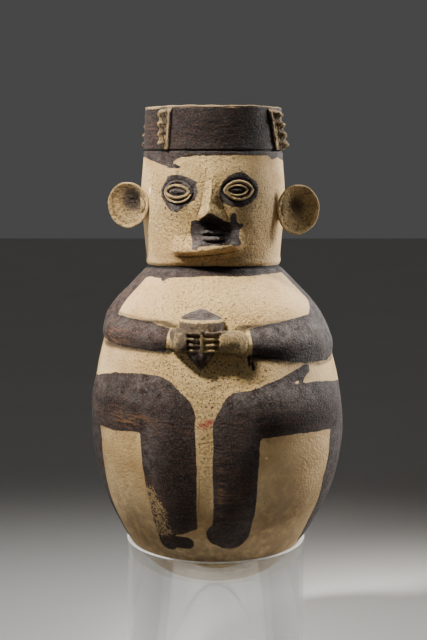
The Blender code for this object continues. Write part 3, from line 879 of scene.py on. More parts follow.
HAZE_LIGHT_SHADE_SPOTS = (
    # grey where the paint lies thin over knees, thighs, arms and lips, and painted light: paler
    # where these face the light
    Smudge(-31.0, 322.0, 28.0, 14.0, 0.40), Smudge(-62.0, 314.0, 34.0, 9.0, 0.30),
    Smudge(12.0, 317.0, 30.0, 13.0, 0.40), Smudge(38.0, 314.0, 40.0, 9.0, 0.35),
    Smudge(-42.0, 373.0, 24.0, 6.0, 0.25), Smudge(44.0, 373.0, 34.0, 7.0, 0.25),
    Smudge(88.0, 372.0, 24.0, 34.0, 0.35), Smudge(-30.0, 262.0, 10.0, 34.0, 0.40),
    Smudge(0.5, 462.0, 12.0, 2.2, 0.60), Smudge(0.5, 456.2, 12.0, 2.2, 0.60),
    Smudge(-4.0, 450.0, 22.0, 3.6, 0.60), Smudge(-60.0, 528.0, 26.0, 8.0, 0.40),
    Smudge(80.0, 556.0, 20.0, 30.0, 0.55), Smudge(55.0, 530.0, 24.0, 5.0, 0.50),
    Smudge(48.0, 424.0, 40.0, 8.0, 0.45), Smudge(-25.0, 420.0, 20.0, 4.0, 0.30),
    # black where it lies thick, and painted shade: blacker under the nose, under the right arm,
    # on the shins and on the collar under the jaw
    Smudge(0.0, 471.0, 22.0, 7.0, -0.80), Smudge(-15.0, 236.0, 14.0, 60.0, -0.35),
    Smudge(7.0, 232.0, 14.0, 56.0, -0.35), Smudge(-52.0, 303.0, 24.0, 7.0, -0.35),
    Smudge(38.0, 291.0, 44.0, 8.0, -0.45), Smudge(34.0, 354.0, 46.0, 7.0, -0.50),
    Smudge(12.0, 556.0, 44.0, 14.0, -0.30), Smudge(0.0, 424.0, 36.0, 6.0, -0.45),
    Smudge(-58.0, 556.0, 16.0, 24.0, -0.30), Smudge(22.0, 298.0, 12.0, 14.0, -0.2),
)
WORN = (
    Smudge(-31.5, 218.0, 12.0, 19.0, 0.95), Smudge(-27.5, 199.0, 11.0, 14.0, 0.85),
    Smudge(-30.0, 180.0, 12.0, 10.0, 0.55), Smudge(-62.0, 362.0, 22.0, 8.0, 0.35),
    Smudge(-52.0, 290.0, 34.0, 9.0, 0.30), Smudge(9.0, 228.0, 6.0, 30.0, 0.25),
    Smudge(-45.0, 548.0, 14.0, 10.0, 0.2), Smudge(-23.0, 184.0, 18.0, 5.0, 0.35),
)
SCRATCHED = (
    Smudge(-60.0, 366.0, 34.0, 10.0, 1.0), Smudge(-48.0, 288.0, 38.0, 12.0, 0.7),
    Smudge(-80.0, 395.0, 24.0, 22.0, 0.6), Smudge(62.0, 558.0, 18.0, 18.0, 0.7),
    Smudge(4.0, 225.0, 8.0, 30.0, 0.45), Smudge(30.0, 292.0, 34.0, 14.0, 0.35),
    Smudge(-62.0, 555.0, 14.0, 18.0, 0.5),
)
GRITTY = (
    Smudge(-5.0, 345.0, 80.0, 66.0, 1.1), Smudge(-5.0, 482.0, 72.0, 60.0, 1.0),
    Smudge(-4.0, 250.0, 20.0, 60.0, 0.6), Smudge(-60.0, 250.0, 60.0, 60.0, 0.35),
    Smudge(60.0, 230.0, 60.0, 60.0, 0.3), Smudge(160.0, 330.0, 80.0, 60.0, 0.45),
    Smudge(-140.0, 240.0, 80.0, 50.0, 0.4), Smudge(-165.0, 480.0, 60.0, 40.0, 0.4),
)
ROSY = (
    Smudge(-45.0, 402.0, 42.0, 22.0, 0.9), Smudge(50.0, 398.0, 42.0, 26.0, 0.7),
    Smudge(-60.0, 345.0, 44.0, 14.0, 0.8), Smudge(35.0, 338.0, 40.0, 12.0, 0.6),
    Smudge(45.0, 240.0, 44.0, 52.0, 0.55), Smudge(-30.0, 452.0, 26.0, 14.0, 0.6),
    Smudge(45.0, 470.0, 26.0, 40.0, 0.5),
)
TINTED = {
    Mark.RED: (Smudge(-5.8, 291.0, 5.0, 3.0, 1.1), Smudge(-3.0, 293.8, 5.0, 2.0, 1.0)),
    Mark.OCHRE: (Smudge(-8.2, 238.0, 1.5, 26.0, 1.1), Smudge(-9.0, 212.0, 1.5, 14.0, 1.0),
                 Smudge(-40.0, 291.0, 20.0, 5.0, 0.5), Smudge(1.0, 228.0, 2.6, 28.0, 0.3),
                 Smudge(-64.0, 360.0, 22.0, 6.0, 0.35)),
    Mark.CHIP: (Smudge(-59.0, 500.5, 1.5, 3.6, 1.4),),
}
SOOT_AND_SHADE_SPOTS = (
    # soot and dirt, with painted shade: darker low on the belly, under the jaw and below the
    # hands
    Smudge(30.0, 200.0, 60.0, 26.0, 0.35), Smudge(0.0, 150.0, 120.0, 26.0, 0.60),
    Smudge(-50.0, 190.0, 40.0, 24.0, 0.35), Smudge(0.0, 436.0, 60.0, 5.0, 0.40),
    Smudge(-4.0, 500.0, 70.0, 30.0, 0.22), Smudge(-2.0, 300.0, 30.0, 40.0, 0.25),
    Smudge(40.0, 480.0, 24.0, 60.0, 0.22), Smudge(10.0, 345.0, 22.0, 14.0, 0.30),
    Smudge(-30.0, 478.0, 30.0, 6.0, 0.15), Smudge(165.0, 190.0, 90.0, 30.0, 0.40),
    Smudge(-150.0, 300.0, 40.0, 26.0, 0.30), Smudge(140.0, 360.0, 46.0, 20.0, 0.25),
    Smudge(-170.0, 480.0, 40.0, 22.0, 0.25), Smudge(0.0, 205.0, 170.0, 62.0, 0.34),
)


def linked(name: str, data: bpy.types.ID) -> bpy.types.Object:
    """Put data into the scene.

    Args:
        name: The name of the new object.
        data: A mesh, a light or a camera.

    Returns:
        The new object, at the origin.
    """
    made = bpy.data.objects.new(name, data)
    bpy.context.scene.collection.objects.link(made)
    return made


def turn_shape(bm: bmesh.types.BMesh, line: list[Station], steps: int,
               axis: Station = (0.0, 0.0, 1.0), closed: bool = False) -> None:
    """Spin a line of points once round an axis through the origin.

    Args:
        bm: The bmesh that gets the shape.
        line: The places that the line joins.
        steps: How many columns the full turn has.
        axis: The direction of the axis.
        closed: Whether the line's end is joined to its start.
    """
    verts = [bm.verts.new(place) for place in line]
    onward = verts[1:] + verts[:1] if closed else verts[1:]
    edges = [bm.edges.new(pair) for pair in zip(verts, onward)]
    bmesh.ops.spin(bm, geom=verts + edges, axis=axis, cent=(0.0, 0.0, 0.0),
                   angle=2.0 * math.pi, steps=steps, use_merge=True)
    bmesh.ops.remove_doubles(bm, verts=bm.verts, dist=WELD)


def mesh_object(bm: bmesh.types.BMesh, name: str) -> bpy.types.Object:
    """Turn a millimetre bmesh about the urn's axis into an object in the row frame.

    Args:
        bm: The shape, which is freed.
        name: The object's name.

    Returns:
        The linked object, at the origin with its place in its mesh.
    """
    bmesh.ops.recalc_face_normals(bm, faces=bm.faces)
    bmesh.ops.translate(bm, vec=AXIS, verts=bm.verts)
    bmesh.ops.scale(bm, vec=(MM, MM, MM), verts=bm.verts)
    mesh = bpy.data.meshes.new(name)
    bm.to_mesh(mesh)
    bm.free()
    mesh.shade_smooth()
    return linked(name, mesh)


def coordinates(bm: bmesh.types.BMesh) -> np.ndarray:
    """Return the places of a bmesh's vertices, one row each."""
    return np.array([vert.co for vert in bm.verts], float).reshape(-1, 3)


def move_to(bm: bmesh.types.BMesh, points: np.ndarray) -> None:
    """Move each vertex of a bmesh to its row of points."""
    for vert, point in zip(bm.verts, points):
        vert.co = point


def baked(made: bpy.types.Object) -> bpy.types.Object:
    """Apply an object's modifiers to its mesh and return the object.

    Args:
        made: The object to bake.

    Returns:
        The same object, with no modifiers left.
    """
    graph = bpy.context.evaluated_depsgraph_get()
    mesh = bpy.data.meshes.new_from_object(made.evaluated_get(graph))
    old = made.data
    made.modifiers.clear()
    made.data = mesh
    bpy.data.meshes.remove(old)
    return made


@dataclass
class Vessel:
    """The hollow wall of the urn with its low relief."""

    skin: Skin
    relief: Relief
    segments: int = 256
    crowding: float = 0.48
    rim_low: float = 578.2
    rim_wear: float = 0.35
    relief_start: Station = (3.0, 22.0)

    def build(self) -> bpy.types.Object:
        """Return the hollow vessel, its columns closer together on the front.

        Returns:
            The vessel's object, without ears, hands and cup.
        """
        outer, inner = self.skin.outer_rows(), self.skin.inner_rows()
        rim = ((self.skin.rim_radius - self.skin.rim_edge * 0.3, 579.0),
               (self.skin.rim_radius - self.skin.rim_edge, self.skin.top),
               (self.skin.rim_radius - self.skin.wall + self.skin.rim_edge, self.skin.top),
               (self.skin.rim_radius - self.skin.wall + 0.4, 578.9))
        bm = bmesh.new()
        turn_shape(bm, [(row[0], 0.0, row[1]) for row in (*outer, *rim, *inner)],
                   self.segments)
        move_to(bm, self.shaped(coordinates(bm)))
        return mesh_object(bm, "urn_vessel")

    def shaped(self, points: np.ndarray) -> np.ndarray:
        """Return the plain spun points with relief, uneven wall and leaning axis.

        Args:
            points: The spun points, one row each.

        Returns:
            The finished points, one row each.
        """
        turn = np.arctan2(points[:, 0], -points[:, 1])
        turn = turn - self.crowding * np.sin(turn)
        azimuth, height = np.degrees(turn), points[:, 2]
        reach = np.hypot(points[:, 0], points[:, 1])
        outside = reach > self.skin.radius(height) - self.skin.wall / 4.0
        outside &= height < self.rim_low
        clear_of_tube = ramp(height - self.skin.tube_top, *self.relief_start)
        proud = self.relief.at(azimuth, height) * clear_of_tube
        reach = reach + np.where(outside, proud, 0.0)
        height = self.relief.lifted(azimuth, height)
        worn_rim = self.rim_wear * (1.0 + np.sin(7.0 * turn + 0.5) * np.sin(13.0 * turn))
        height = height - worn_rim * ramp(height, 577.5, 579.0)
        return np.column_stack([self.skin.shift(height) + reach * np.sin(turn),
                                -reach * np.cos(turn), height])


@dataclass(frozen=True)
class Ear:
    """A dished disc of clay that stands out from the side of the head on a short stem."""

    centre: Station
    radius: float
    outward: float
    dish_offset: Station
    dish_shade: float
    thickness: float = 6.0
    rim: float = 3.0
    dish: float = 4.9
    stem_radius: float = 8.5
    stem_flare: float = 1.15
    stem_reach: float = 0.6
    segments: int = 72

    def frame(self) -> Matrix:
        """Return the ear's own place: its face looks along -Y, turned outwards."""
        side = math.copysign(1.0, self.centre[0])
        return Matrix.Translation(self.centre) @ Matrix.Rotation(
            math.radians(side * self.outward), 4, "Z")

    def disc(self, bm: bmesh.types.BMesh) -> None:
        """Add the disc, spun from its section and pressed in off centre.

        Args:
            bm: The bmesh that gets the shape.
        """
        t, r, d = self.thickness, self.radius, self.dish
        section = [(0.0, t), (0.3, t), (0.6, 0.93 * t), (0.8, 0.8 * t), (0.93, 0.56 * t),
                   (0.985, 0.36 * t), (1.0, 0.18 * t), (0.992, 0.06 * t),
                   (1.0 - 0.25 * self.rim / r, 0.0), (1.0 - 0.6 * self.rim / r, 0.02 * d),
                   (1.0 - self.rim / r, 0.14 * d), (0.80, 0.27 * d), (0.70, 0.40 * d),
                   (0.60, 0.52 * d), (0.48, 0.66 * d), (0.36, 0.80 * d), (0.24, 0.92 * d),
                   (0.12, 0.98 * d), (0.0, d)]
        turn_shape(bm, [(share * r, depth, 0.0) for share, depth in section],
                   self.segments, axis=(0.0, 1.0, 0.0))
        points = coordinates(bm)
        share = np.hypot(points[:, 0], points[:, 2]) / r
        front = points[:, 1] < t * (0.93 - 0.1 * share)
        sunk = np.where(front, 1.0 - ramp(share, 0.15, 0.86), 0.0)
        turn = np.arctan2(points[:, 2], points[:, 0])
        wobble = 1.0 + 0.012 * np.sin(3.0 * turn + 1.0) + 0.008 * np.sin(7.0 * turn)
        points[:, 0] = points[:, 0] * wobble + sunk * self.dish_offset[0]
        points[:, 2] = points[:, 2] * wobble + sunk * self.dish_offset[1]
        move_to(bm, points)
        bmesh.ops.transform(bm, matrix=self.frame(), verts=bm.verts)

    def stem(self, bm: bmesh.types.BMesh) -> None:
        """Add the stem, from the back of the disc into the wall of the head.

        Args:
            bm: The bmesh that gets the shape.
        """
        side = math.copysign(1.0, self.centre[0])
        root = self.frame() @ Vector((-side * 0.45 * self.radius, self.thickness * 0.9, 0.0))
        inward = np.array([[self.stem_reach * root.x, self.stem_reach * root.y, root.z]])
        wall = Vector(SKIN.kept_in_wall(inward)[0])
        axis = wall - root
        place = Matrix.Translation((root + wall) / 2.0) @ axis.to_track_quat(
            "Z", "Y").to_matrix().to_4x4()
        bmesh.ops.create_cone(bm, cap_ends=True, segments=36, radius1=self.stem_radius,
                              radius2=self.stem_flare * self.stem_radius,
                              depth=axis.length, matrix=place)
        move_to(bm, SKIN.kept_in_wall(coordinates(bm)))


@dataclass(frozen=True)
class HandsAndCup:
    """The two hands that hold a pointed cup in front of the chest."""

    voxel: float = 0.75
    fusing: float = 0.4
    cup_steps: int = 72
    flutes: float = 9.0
    flute_depth: float = 0.07
    cup_line: Stations = ((0.0, 341.0), (1.8, 341.4), (3.6, 343.5), (6.0, 346.6), (9.2, 350.0),
                          (11.8, 353.5), (12.9, 357.0), (13.8, 361.0), (14.4, 366.0),
                          (15.4, 370.0), (18.4, 373.0), (20.0, 375.6), (20.5, 379.0),
                          (20.7, 382.6), (20.4, 383.4), (20.0, 384.9), (18.9, 385.2),
                          (18.2, 385.3), (15.0, 385.6), (11.0, 386.0), (7.0, 386.4),
                          (3.0, 386.8), (0.0, 387.0))
    cup_middle: Stations = ((341.5, -13.8, -116.5), (349.0, -14.0, -114.5),
                            (356.0, -14.2, -111.5), (366.0, -13.6, -108.0),
                            (376.0, -13.2, -104.5), (384.0, -13.0, -101.8),
                            (396.0, -13.0, -100.0))
    peak: float = 9.0
    left_hand: Stations = ((-43.5, -98.5, 366.0, 4.5, 6.5), (-40.0, -104.5, 366.6, 7.6, 9.6),
                           (-35.5, -110.5, 367.2, 9.2, 11.0), (-30.5, -115.3, 367.4, 9.6, 10.8),
                           (-26.5, -118.5, 367.2, 7.4, 9.8))
    right_hand: Stations = ((31.0, -104.0, 359.5, 4.5, 9.0), (27.0, -107.5, 361.0, 7.4, 11.6),
                            (21.0, -111.6, 364.2, 8.8, 11.8), (12.0, -115.4, 365.8, 9.6, 10.4),
                            (3.0, -118.4, 366.8, 7.6, 9.8))
    finger_radius: float = 1.6
    finger_rows: tuple[float, ...] = (374.7, 369.4, 364.1, 358.9)
    left_fingers: Station = (-28.0, -16.6, -125.6)
    right_fingers: Station = (4.0, -9.0, -125.6)
    thumb: Station = (-12.8, -125.9, 356.5, 377.0, 1.9)

    def cup(self, bm: bmesh.types.BMesh) -> None:
        """Add the cup, fluted at its foot, with a mound that peaks against the chest.

        Args:
            bm: The bmesh that gets the shape.
        """
        turn_shape(bm, [(radius, 0.0, up) for radius, up in self.cup_line], self.cup_steps)
        points = coordinates(bm)
        x, y, up = points.T
        turn = np.arctan2(y, x)
        flute = 1.0 + self.flute_depth * np.cos(self.flutes * turn) * ramp(-up, -362.0, -350.0)
        lid = ramp(up, 385.0, 385.3)
        side = np.clip(1.0 - np.abs(x) / 19.0, 0.0, 1.0) ** 0.55
        rise = self.peak * lid * side * ramp(y, -15.0, 12.0)
        middle = np.array(self.cup_middle)
        move_to(bm, np.column_stack([
            x * flute + np.interp(up, middle[:, 0], middle[:, 1]),
            y * flute + np.interp(up, middle[:, 0], middle[:, 2]),
            up + rise]))

    def palm(self, bm: bmesh.types.BMesh, stations: Stations) -> None:
        """Add the back of one hand, lofted from the wrist to the knuckles.

        Args:
            bm: The bmesh that gets the shape.
            stations: Place, half depth and half height of each oval, from the wrist on.
        """
        loops = []
        for x, y, up, half_depth, half_height in stations:
            place = Matrix.Translation((x, y, up)) @ Matrix.Rotation(
                math.radians(90.0), 4, "Y") @ Matrix.Diagonal((half_height, half_depth, 1.0, 1.0))
            made = bmesh.ops.create_circle(bm, segments=24, radius=1.0, matrix=place)
            loops.append([edge for edge in bm.edges if edge.verts[0] in made["verts"]])
        for first, second in zip(loops, loops[1:]):
            bmesh.ops.bridge_loops(bm, edges=first + second)
        bmesh.ops.edgeloop_fill(bm, edges=loops[0] + loops[-1])

    def finger(self, bm: bmesh.types.BMesh, start: Vector, end: Vector, radius: float) -> None:
        """Add one finger as a rounded bar from its knuckle to its tip.

        Args:
            bm: The bmesh that gets the shape.
            start: The knuckle's place.
            end: The tip's place.
            radius: Half the finger's width.
        """
        axis = end - start
        made = bmesh.ops.create_uvsphere(bm, u_segments=16, v_segments=12, radius=radius)
        for vert in made["verts"]:
            if vert.co.z > WELD:
                vert.co.z += axis.length
        place = Matrix.Translation(start) @ axis.to_track_quat("Z", "Y").to_matrix().to_4x4()
        bmesh.ops.transform(bm, matrix=place, verts=made["verts"])

    def build(self) -> bpy.types.Object:
        """Return hands, fingers and cup as one skin of fused clay.

        Returns:
            The object of that skin.
        """
        parts = []
        for make in (self.cup, partial(self.palm, stations=self.left_hand),
                     partial(self.palm, stations=self.right_hand), self.fingers):
            bm = bmesh.new()
            make(bm)
            parts.append(mesh_object(bm, "urn_hand_part"))
        joined = bmesh.new()
        for part in parts:
            joined.from_mesh(part.data)
            bpy.data.objects.remove(part)
        mesh = bpy.data.meshes.new("urn_hands")
        joined.to_mesh(mesh)
        joined.free()
        made = linked("urn_hands", mesh)
        remesh = made.modifiers.new("fused_clay", "REMESH")
        remesh.mode = "VOXEL"
        remesh.voxel_size = self.voxel * MM
        baked(made)
        bm = bmesh.new()
        bm.from_mesh(made.data)
        bmesh.ops.smooth_vert(bm, verts=bm.verts, factor=self.fusing, use_axis_x=True,
                              use_axis_y=True, use_axis_z=True)
        bmesh.ops.scale(bm, vec=(1.0 / MM,) * 3, verts=bm.verts)
        bmesh.ops.translate(bm, vec=-AXIS, verts=bm.verts)
        move_to(bm, SKIN.kept_in_wall(coordinates(bm)))
        bpy.data.objects.remove(made)
        return mesh_object(bm, "urn_hands")

    def fingers(self, bm: bmesh.types.BMesh) -> None:
        """Add the fingers of both hands and the thumbs between them.

        Args:
            bm: The bmesh that gets the shape.
        """
        for knuckle, tip, front in (self.left_fingers, self.right_fingers):
            for index, up in enumerate(self.finger_rows):
                back = 0.8 * index
                middle = Vector(((knuckle + tip) / 2.0, front - 0.2 + back, up + 0.2))
                self.finger(bm, Vector((knuckle, front + 3.4 + back, up + 0.4)), middle,
                            self.finger_radius)
                self.finger(bm, middle, Vector((tip, front + 0.3 + back, up)),
                            self.finger_radius)
        x, y, low, high, radius = self.thumb
        self.finger(bm, Vector((x, y + 3.0, low)), Vector((x + 0.4, y, high)), radius)


@dataclass(frozen=True)
class Noise:
    """A pattern's size in millimetres, its detail, its roughness and whether it is brushed."""

    size: float
    detail: float
    rough: float = 0.5
    brushed: bool = False


class Pattern(Enum):
    """Patterns in the clay and its slips.

    The sand in such clay is 0.2 to 0.5 mm across. That is finer than the render shows, so
    dust, grain, flecks, specks and sand are drawn about four times as coarse.
    """

    CLOUDS = Noise(46.0, 5.0, 0.55)
    WANDER = Noise(13.0, 3.0)
    MOTTLE = Noise(9.0, 4.0, 0.6)
    PITS = Noise(3.4, 2.0)
    SAND = Noise(2.6, 2.0, 0.55)
    SPECKS = Noise(2.2, 2.0, 0.6)
    FLECKS = Noise(1.9, 3.0, 0.7)
    GRAIN = Noise(1.1, 3.0, 0.65)
    DUST = Noise(0.9, 1.0)
    STREAKS = Noise(2.6, 4.0, 0.62, brushed=True)
    SWEEPS = Noise(14.0, 3.0, brushed=True)


class Tone(Enum):
    """Colours of the clay, its slips and what has settled on them, as sRGB hex."""

    CREAM = "DFBF8C"
    BUFF = "BC9763"
    ROSY = "DAAE88"
    SANDY = "C0A163"
    SOOT_AND_SHADE = "57493A"
    SPECK = "33271B"
    BLACK_BROWN = "1B140D"
    BLACK = "0B0908"
    BROWN = "2B1D16"
    BLOOM = "645E5B"
    RUST = "654430"
    OCHRE = "936C3D"
    RED = "86372C"
    LIME = "F1EBDF"


class Curve(Enum):
    """How a share rises between its limits. A straight one goes on past them."""

    STRAIGHT = "LINEAR"
    SMOOTH = "SMOOTHSTEP"


@dataclass(frozen=True)
class Share:
    """What a pattern or a mark adds to a veil: its two limits, and the share at each."""

    source: Mark | Pattern
    low: float = 0.0
    high: float = 1.0
    at_low: float = 0.0
    at_high: float = 1.0
    curve: Curve = Curve.SMOOTH


@dataclass(frozen=True)
class Veil:
    """A tone laid over what is below it, as thick as its shares multiplied together."""

    tone: Tone
    shares: tuple[Share, ...]


def marked(mark: Mark, least: float = 0.0, most: float = 1.0) -> Share:
    """Return a share that follows a mark's own value, from least at 0 to most at 1."""
    return Share(mark, at_low=least, at_high=most, curve=Curve.STRAIGHT)


CREAM_SLIP = (
    # clouded, rosier on the shoulders, sandier on chest and face
    Veil(Tone.BUFF, (Share(Pattern.CLOUDS, 0.36, 0.66),)),
    Veil(Tone.ROSY, (marked(Mark.WARM), Share(Pattern.MOTTLE, 0.25, 0.75))),
    Veil(Tone.SANDY, (marked(Mark.GRIT), Share(Pattern.GRAIN, 0.3, 0.62))),
    Veil(Tone.BUFF, (Share(Pattern.SWEEPS, 0.5, 0.8, at_high=0.35),)),
    # dark mineral grit, more of it where the slip is sandy
    Veil(Tone.SPECK, (Share(Pattern.SPECKS, 0.71, 0.77, at_high=0.85),)),
    Veil(Tone.SOOT_AND_SHADE, (marked(Mark.GRIT, most=0.42), Share(Pattern.SAND, 0.48, 0.64))),
    Veil(Tone.SOOT_AND_SHADE, (marked(Mark.GRIT, most=0.4), Share(Pattern.DUST, 0.5, 0.72))),
    # soot and dirt that settled, with painted shade low on the belly, under the jaw, below the
    # hands and in the ear dishes; painted shade in the hollows, and raised edges a little lighter
    Veil(Tone.SOOT_AND_SHADE, (marked(Mark.SOOT_AND_SHADE), Share(Pattern.MOTTLE, 0.1, 0.62))),
    Veil(Tone.BLACK_BROWN, (Share(Mark.SOOT_AND_SHADE, 0.9, 2.4), Share(Pattern.SAND, 0.3, 0.6))),
    Veil(Tone.BLACK_BROWN, (Share(Mark.HOLLOW_SHADE, 0.08, 0.9, at_high=0.85),)),
    Veil(Tone.CREAM, (Share(Mark.HOLLOW_SHADE, -1.0, -0.35, at_low=0.3, at_high=0.0),)),
    # the red smudge, the white chip and the ochre line
    Veil(Tone.RED, (marked(Mark.RED), Share(Pattern.MOTTLE, 0.3, 0.55))),
    Veil(Tone.LIME, (Share(Mark.CHIP, 0.3, 0.6),)),
    Veil(Tone.OCHRE, (Share(Mark.OCHRE, 0.75, 0.95, at_high=0.7),)),
)
DARK_SLIP = (
    # brushed brown over black, under a grey bloom that also carries painted light and shade
    Veil(Tone.BROWN, (Share(Pattern.STREAKS, 0.42, 0.68),)),
    Veil(Tone.BLOOM, (marked(Mark.HAZE_LIGHT_SHADE), Share(Pattern.MOTTLE, 0.3, 0.72))),
    Veil(Tone.BLOOM, (marked(Mark.HAZE_LIGHT_SHADE, 0.2, 0.8), Share(Pattern.FLECKS, 0.52, 0.64))),
    # rubbed and scratched down to rusty clay
    Veil(Tone.RUST, (marked(Mark.WEAR, 0.12, 1.22), Share(Pattern.GRAIN, 0.46, 0.64))),
    Veil(Tone.RUST, (marked(Mark.SCRATCH, most=0.8), Share(Pattern.STREAKS, 0.5, 0.62))),
    Veil(Tone.OCHRE, (marked(Mark.OCHRE), Share(Pattern.STREAKS, 0.46, 0.58))),
    # painted shade: the paint blackened in hollows and creases
    Veil(Tone.BLACK, (Share(Mark.HOLLOW_SHADE, 0.08, 0.9, at_high=0.9),)),
)

Sources = dict[Mark | Pattern, bpy.types.NodeSocket]


@dataclass(frozen=True)
class PaintedClay:
    """Buff earthenware, hand built, slipped cream and painted in a dark mineral slip.

    To the eye it is quite matt: a dry cream ground with sandy grit and pin holes, and a
    brown-black paint that lies thin on it, brushed along its stripes, hazed with a grey-blue
    bloom and rubbed through to the clay on raised edges. Painted light and shade lie in it
    too: the bloom is paler where parts face the light and blacker in shade, and hollows are
    darkened as painted shade.
    """

    ior: float = 1.5
    specular: float = 0.28
    roughness: float = 0.74
    bump_height: float = 1.5
    brush_squeeze: Station = (0.16, 0.16, 1.0)
    cream_slip: tuple[Veil, ...] = CREAM_SLIP
    dark_slip: tuple[Veil, ...] = DARK_SLIP

    def build(self) -> bpy.types.Material:
        """Make the urn's material.

        Returns:
            The material, with the slips' colours, roughness and sandy surface.
        """
        made, tree, shader = blank_material("painted_fired_clay")
        found = self.sources(tree)
        covered = self.cover(tree, found)
        colour = add(tree, "ShaderNodeMix", {"data_type": "RGBA"},
                     {0: covered, 6: self.veiled(tree, found, Tone.CREAM, self.cream_slip),
                      7: self.veiled(tree, found, Tone.BLACK, self.dark_slip)})
        # dry and matt, a little closer where the slip was smoothed by hand
        rough = add(tree, "ShaderNodeMath", SUM,
                    {0: found[Mark.GRIT], 1: 0.14, 2: self.roughness})
        rough = add(tree, "ShaderNodeMath", SUM,
                    {0: found[Pattern.GRAIN], 1: 0.12, 2: rough.outputs[0]})
        bump = add(tree, "ShaderNodeBump", None,
                   {"Strength": 1.0, "Distance": self.bump_height * MM,
                    "Height": self.surface(tree, found, covered)})
        tree.links.new(colour.outputs[2], shader.inputs["Base Color"])
        tree.links.new(rough.outputs[0], shader.inputs["Roughness"])
        tree.links.new(bump.outputs["Normal"], shader.inputs["Normal"])
        shader.inputs["IOR"].default_value = self.ior
        shader.inputs["Specular IOR Level"].default_value = self.specular
        shader.inputs["Metallic"].default_value = 0.0
        return made

    def sources(self, tree: bpy.types.NodeTree) -> Sources:
        """Add the marks and patterns that the rest of the material is made from.

        Args:
            tree: The material's node tree.

        Returns:
            The output socket of each mark and pattern.
        """
        place = add(tree, "ShaderNodeTexCoord").outputs["Object"]
        # brush marks run level round the vessel, so their patterns are squeezed in height
        level = add(tree, "ShaderNodeMapping", None,
                    {"Vector": place, "Scale": self.brush_squeeze}).outputs["Vector"]
        found: Sources = {}
        for mark in Mark:
            found[mark] = add(tree, "ShaderNodeAttribute",
                              {"attribute_name": mark.value}).outputs["Fac"]
        for pattern in Pattern:
            noise = pattern.value
            found[pattern] = add(tree, "ShaderNodeTexNoise", None,
                                 {"Vector": level if noise.brushed else place,
                                  "Scale": per_mm(noise.size), "Detail": noise.detail,
                                  "Roughness": noise.rough}).outputs["Fac"]
        # more specks pass their limit where the slip is gritty
        found[Pattern.SPECKS] = add(tree, "ShaderNodeMath", SUM,
                                    {0: found[Mark.GRIT], 1: 0.13,
                                     2: found[Pattern.SPECKS]}).outputs[0]
        return found

    def veiled(self, tree: bpy.types.NodeTree, found: Sources, ground: Tone,
               veils: tuple[Veil, ...]) -> bpy.types.NodeSocket:
        """Lay veils of colour over a ground, one after the other.

        Args:
            tree: The material's node tree.
            found: The marks and patterns.
            ground: The colour under all the veils.
            veils: The veils, from the lowest to the uppermost.

        Returns:
            The output socket of the finished colour.
        """
        colour = linear(ground.value)
        for veil in veils:
            thick = 1.0
            for share in veil.shares:
                spread = add(tree, "ShaderNodeMapRange",
                             {"interpolation_type": share.curve.value, "clamp": False},
                             {"Value": found[share.source], "From Min": share.low,
                              "From Max": share.high, "To Min": share.at_low,
                              "To Max": share.at_high}).outputs["Result"]
                thick = add(tree, "ShaderNodeMath", PRODUCT, {0: thick, 1: spread}).outputs[0]
            colour = add(tree, "ShaderNodeMix", {"data_type": "RGBA"},
                         {0: thick, 6: colour, 7: linear(veil.tone.value)}).outputs[2]
        return colour

    def cover(self, tree: bpy.types.NodeTree, found: Sources) -> bpy.types.NodeSocket:
        """Work out where the dark slip covers the cream one.

        Its edge wanders by a millimetre, and worn slip goes in crumbs.

        Args:
            tree: The material's node tree.
            found: The marks and patterns.

        Returns:
            The output socket that is one on dark slip and zero beside it.
        """
        edge = add(tree, "ShaderNodeMath", SUM,
                   {0: found[Pattern.WANDER], 1: 2.4, 2: found[Mark.PAINT]})
        edge = add(tree, "ShaderNodeMath", SUM,
                   {0: found[Pattern.GRAIN], 1: 1.4, 2: edge.outputs[0]})
        brushed = add(tree, "ShaderNodeMapRange", {"interpolation_type": Curve.SMOOTH.value},
                      {"Value": edge.outputs[0], "From Min": 1.55, "From Max": 2.35})
        worn = add(tree, "ShaderNodeMath", PRODUCT, {0: found[Mark.WEAR], 1: 0.53})
        worn = add(tree, "ShaderNodeMath", SUM,
                   {0: found[Pattern.SAND], 1: 0.45, 2: worn.outputs[0]})
        worn = add(tree, "ShaderNodeMath", SUM,
                   {0: found[Pattern.GRAIN], 1: 0.6, 2: worn.outputs[0]})
        kept = add(tree, "ShaderNodeMapRange", {"interpolation_type": Curve.SMOOTH.value},
                   {"Value": worn.outputs[0], "From Min": 0.99, "From Max": 1.09,
                    "To Min": 1.0, "To Max": 0.0})
        return add(tree, "ShaderNodeMath", PRODUCT,
                   {0: brushed.outputs["Result"], 1: kept.outputs["Result"]}).outputs[0]

    def surface(self, tree: bpy.types.NodeTree, found: Sources,
                covered: bpy.types.NodeSocket) -> bpy.types.NodeSocket:
        """Work out the fine height of the surface: sand, pin holes, brush marks and slip.

        Args:
            tree: The material's node tree.
            found: The marks and patterns.
            covered: Where the dark slip lies.

        Returns:
            The output socket of the height, as a share of the bump's height.
        """
        coarse = add(tree, "ShaderNodeMath", SUM, {0: found[Mark.GRIT], 1: 0.85, 2: 0.19})
        sand = add(tree, "ShaderNodeMath", SUM,
                   {0: found[Pattern.PITS], 1: 0.7, 2: found[Pattern.GRAIN]})
        sand = add(tree, "ShaderNodeMath", SUM,
                   {0: found[Pattern.SAND], 1: 1.3, 2: sand.outputs[0]})
        brushed = add(tree, "ShaderNodeMath", PRODUCT, {0: found[Pattern.STREAKS], 1: 0.22})
        height = add(tree, "ShaderNodeMath", SUM,
                     {0: sand.outputs[0], 1: coarse.outputs[0], 2: brushed.outputs[0]})
        return add(tree, "ShaderNodeMath", SUM,
                   {0: covered, 1: 0.12, 2: height.outputs[0]}).outputs[0]


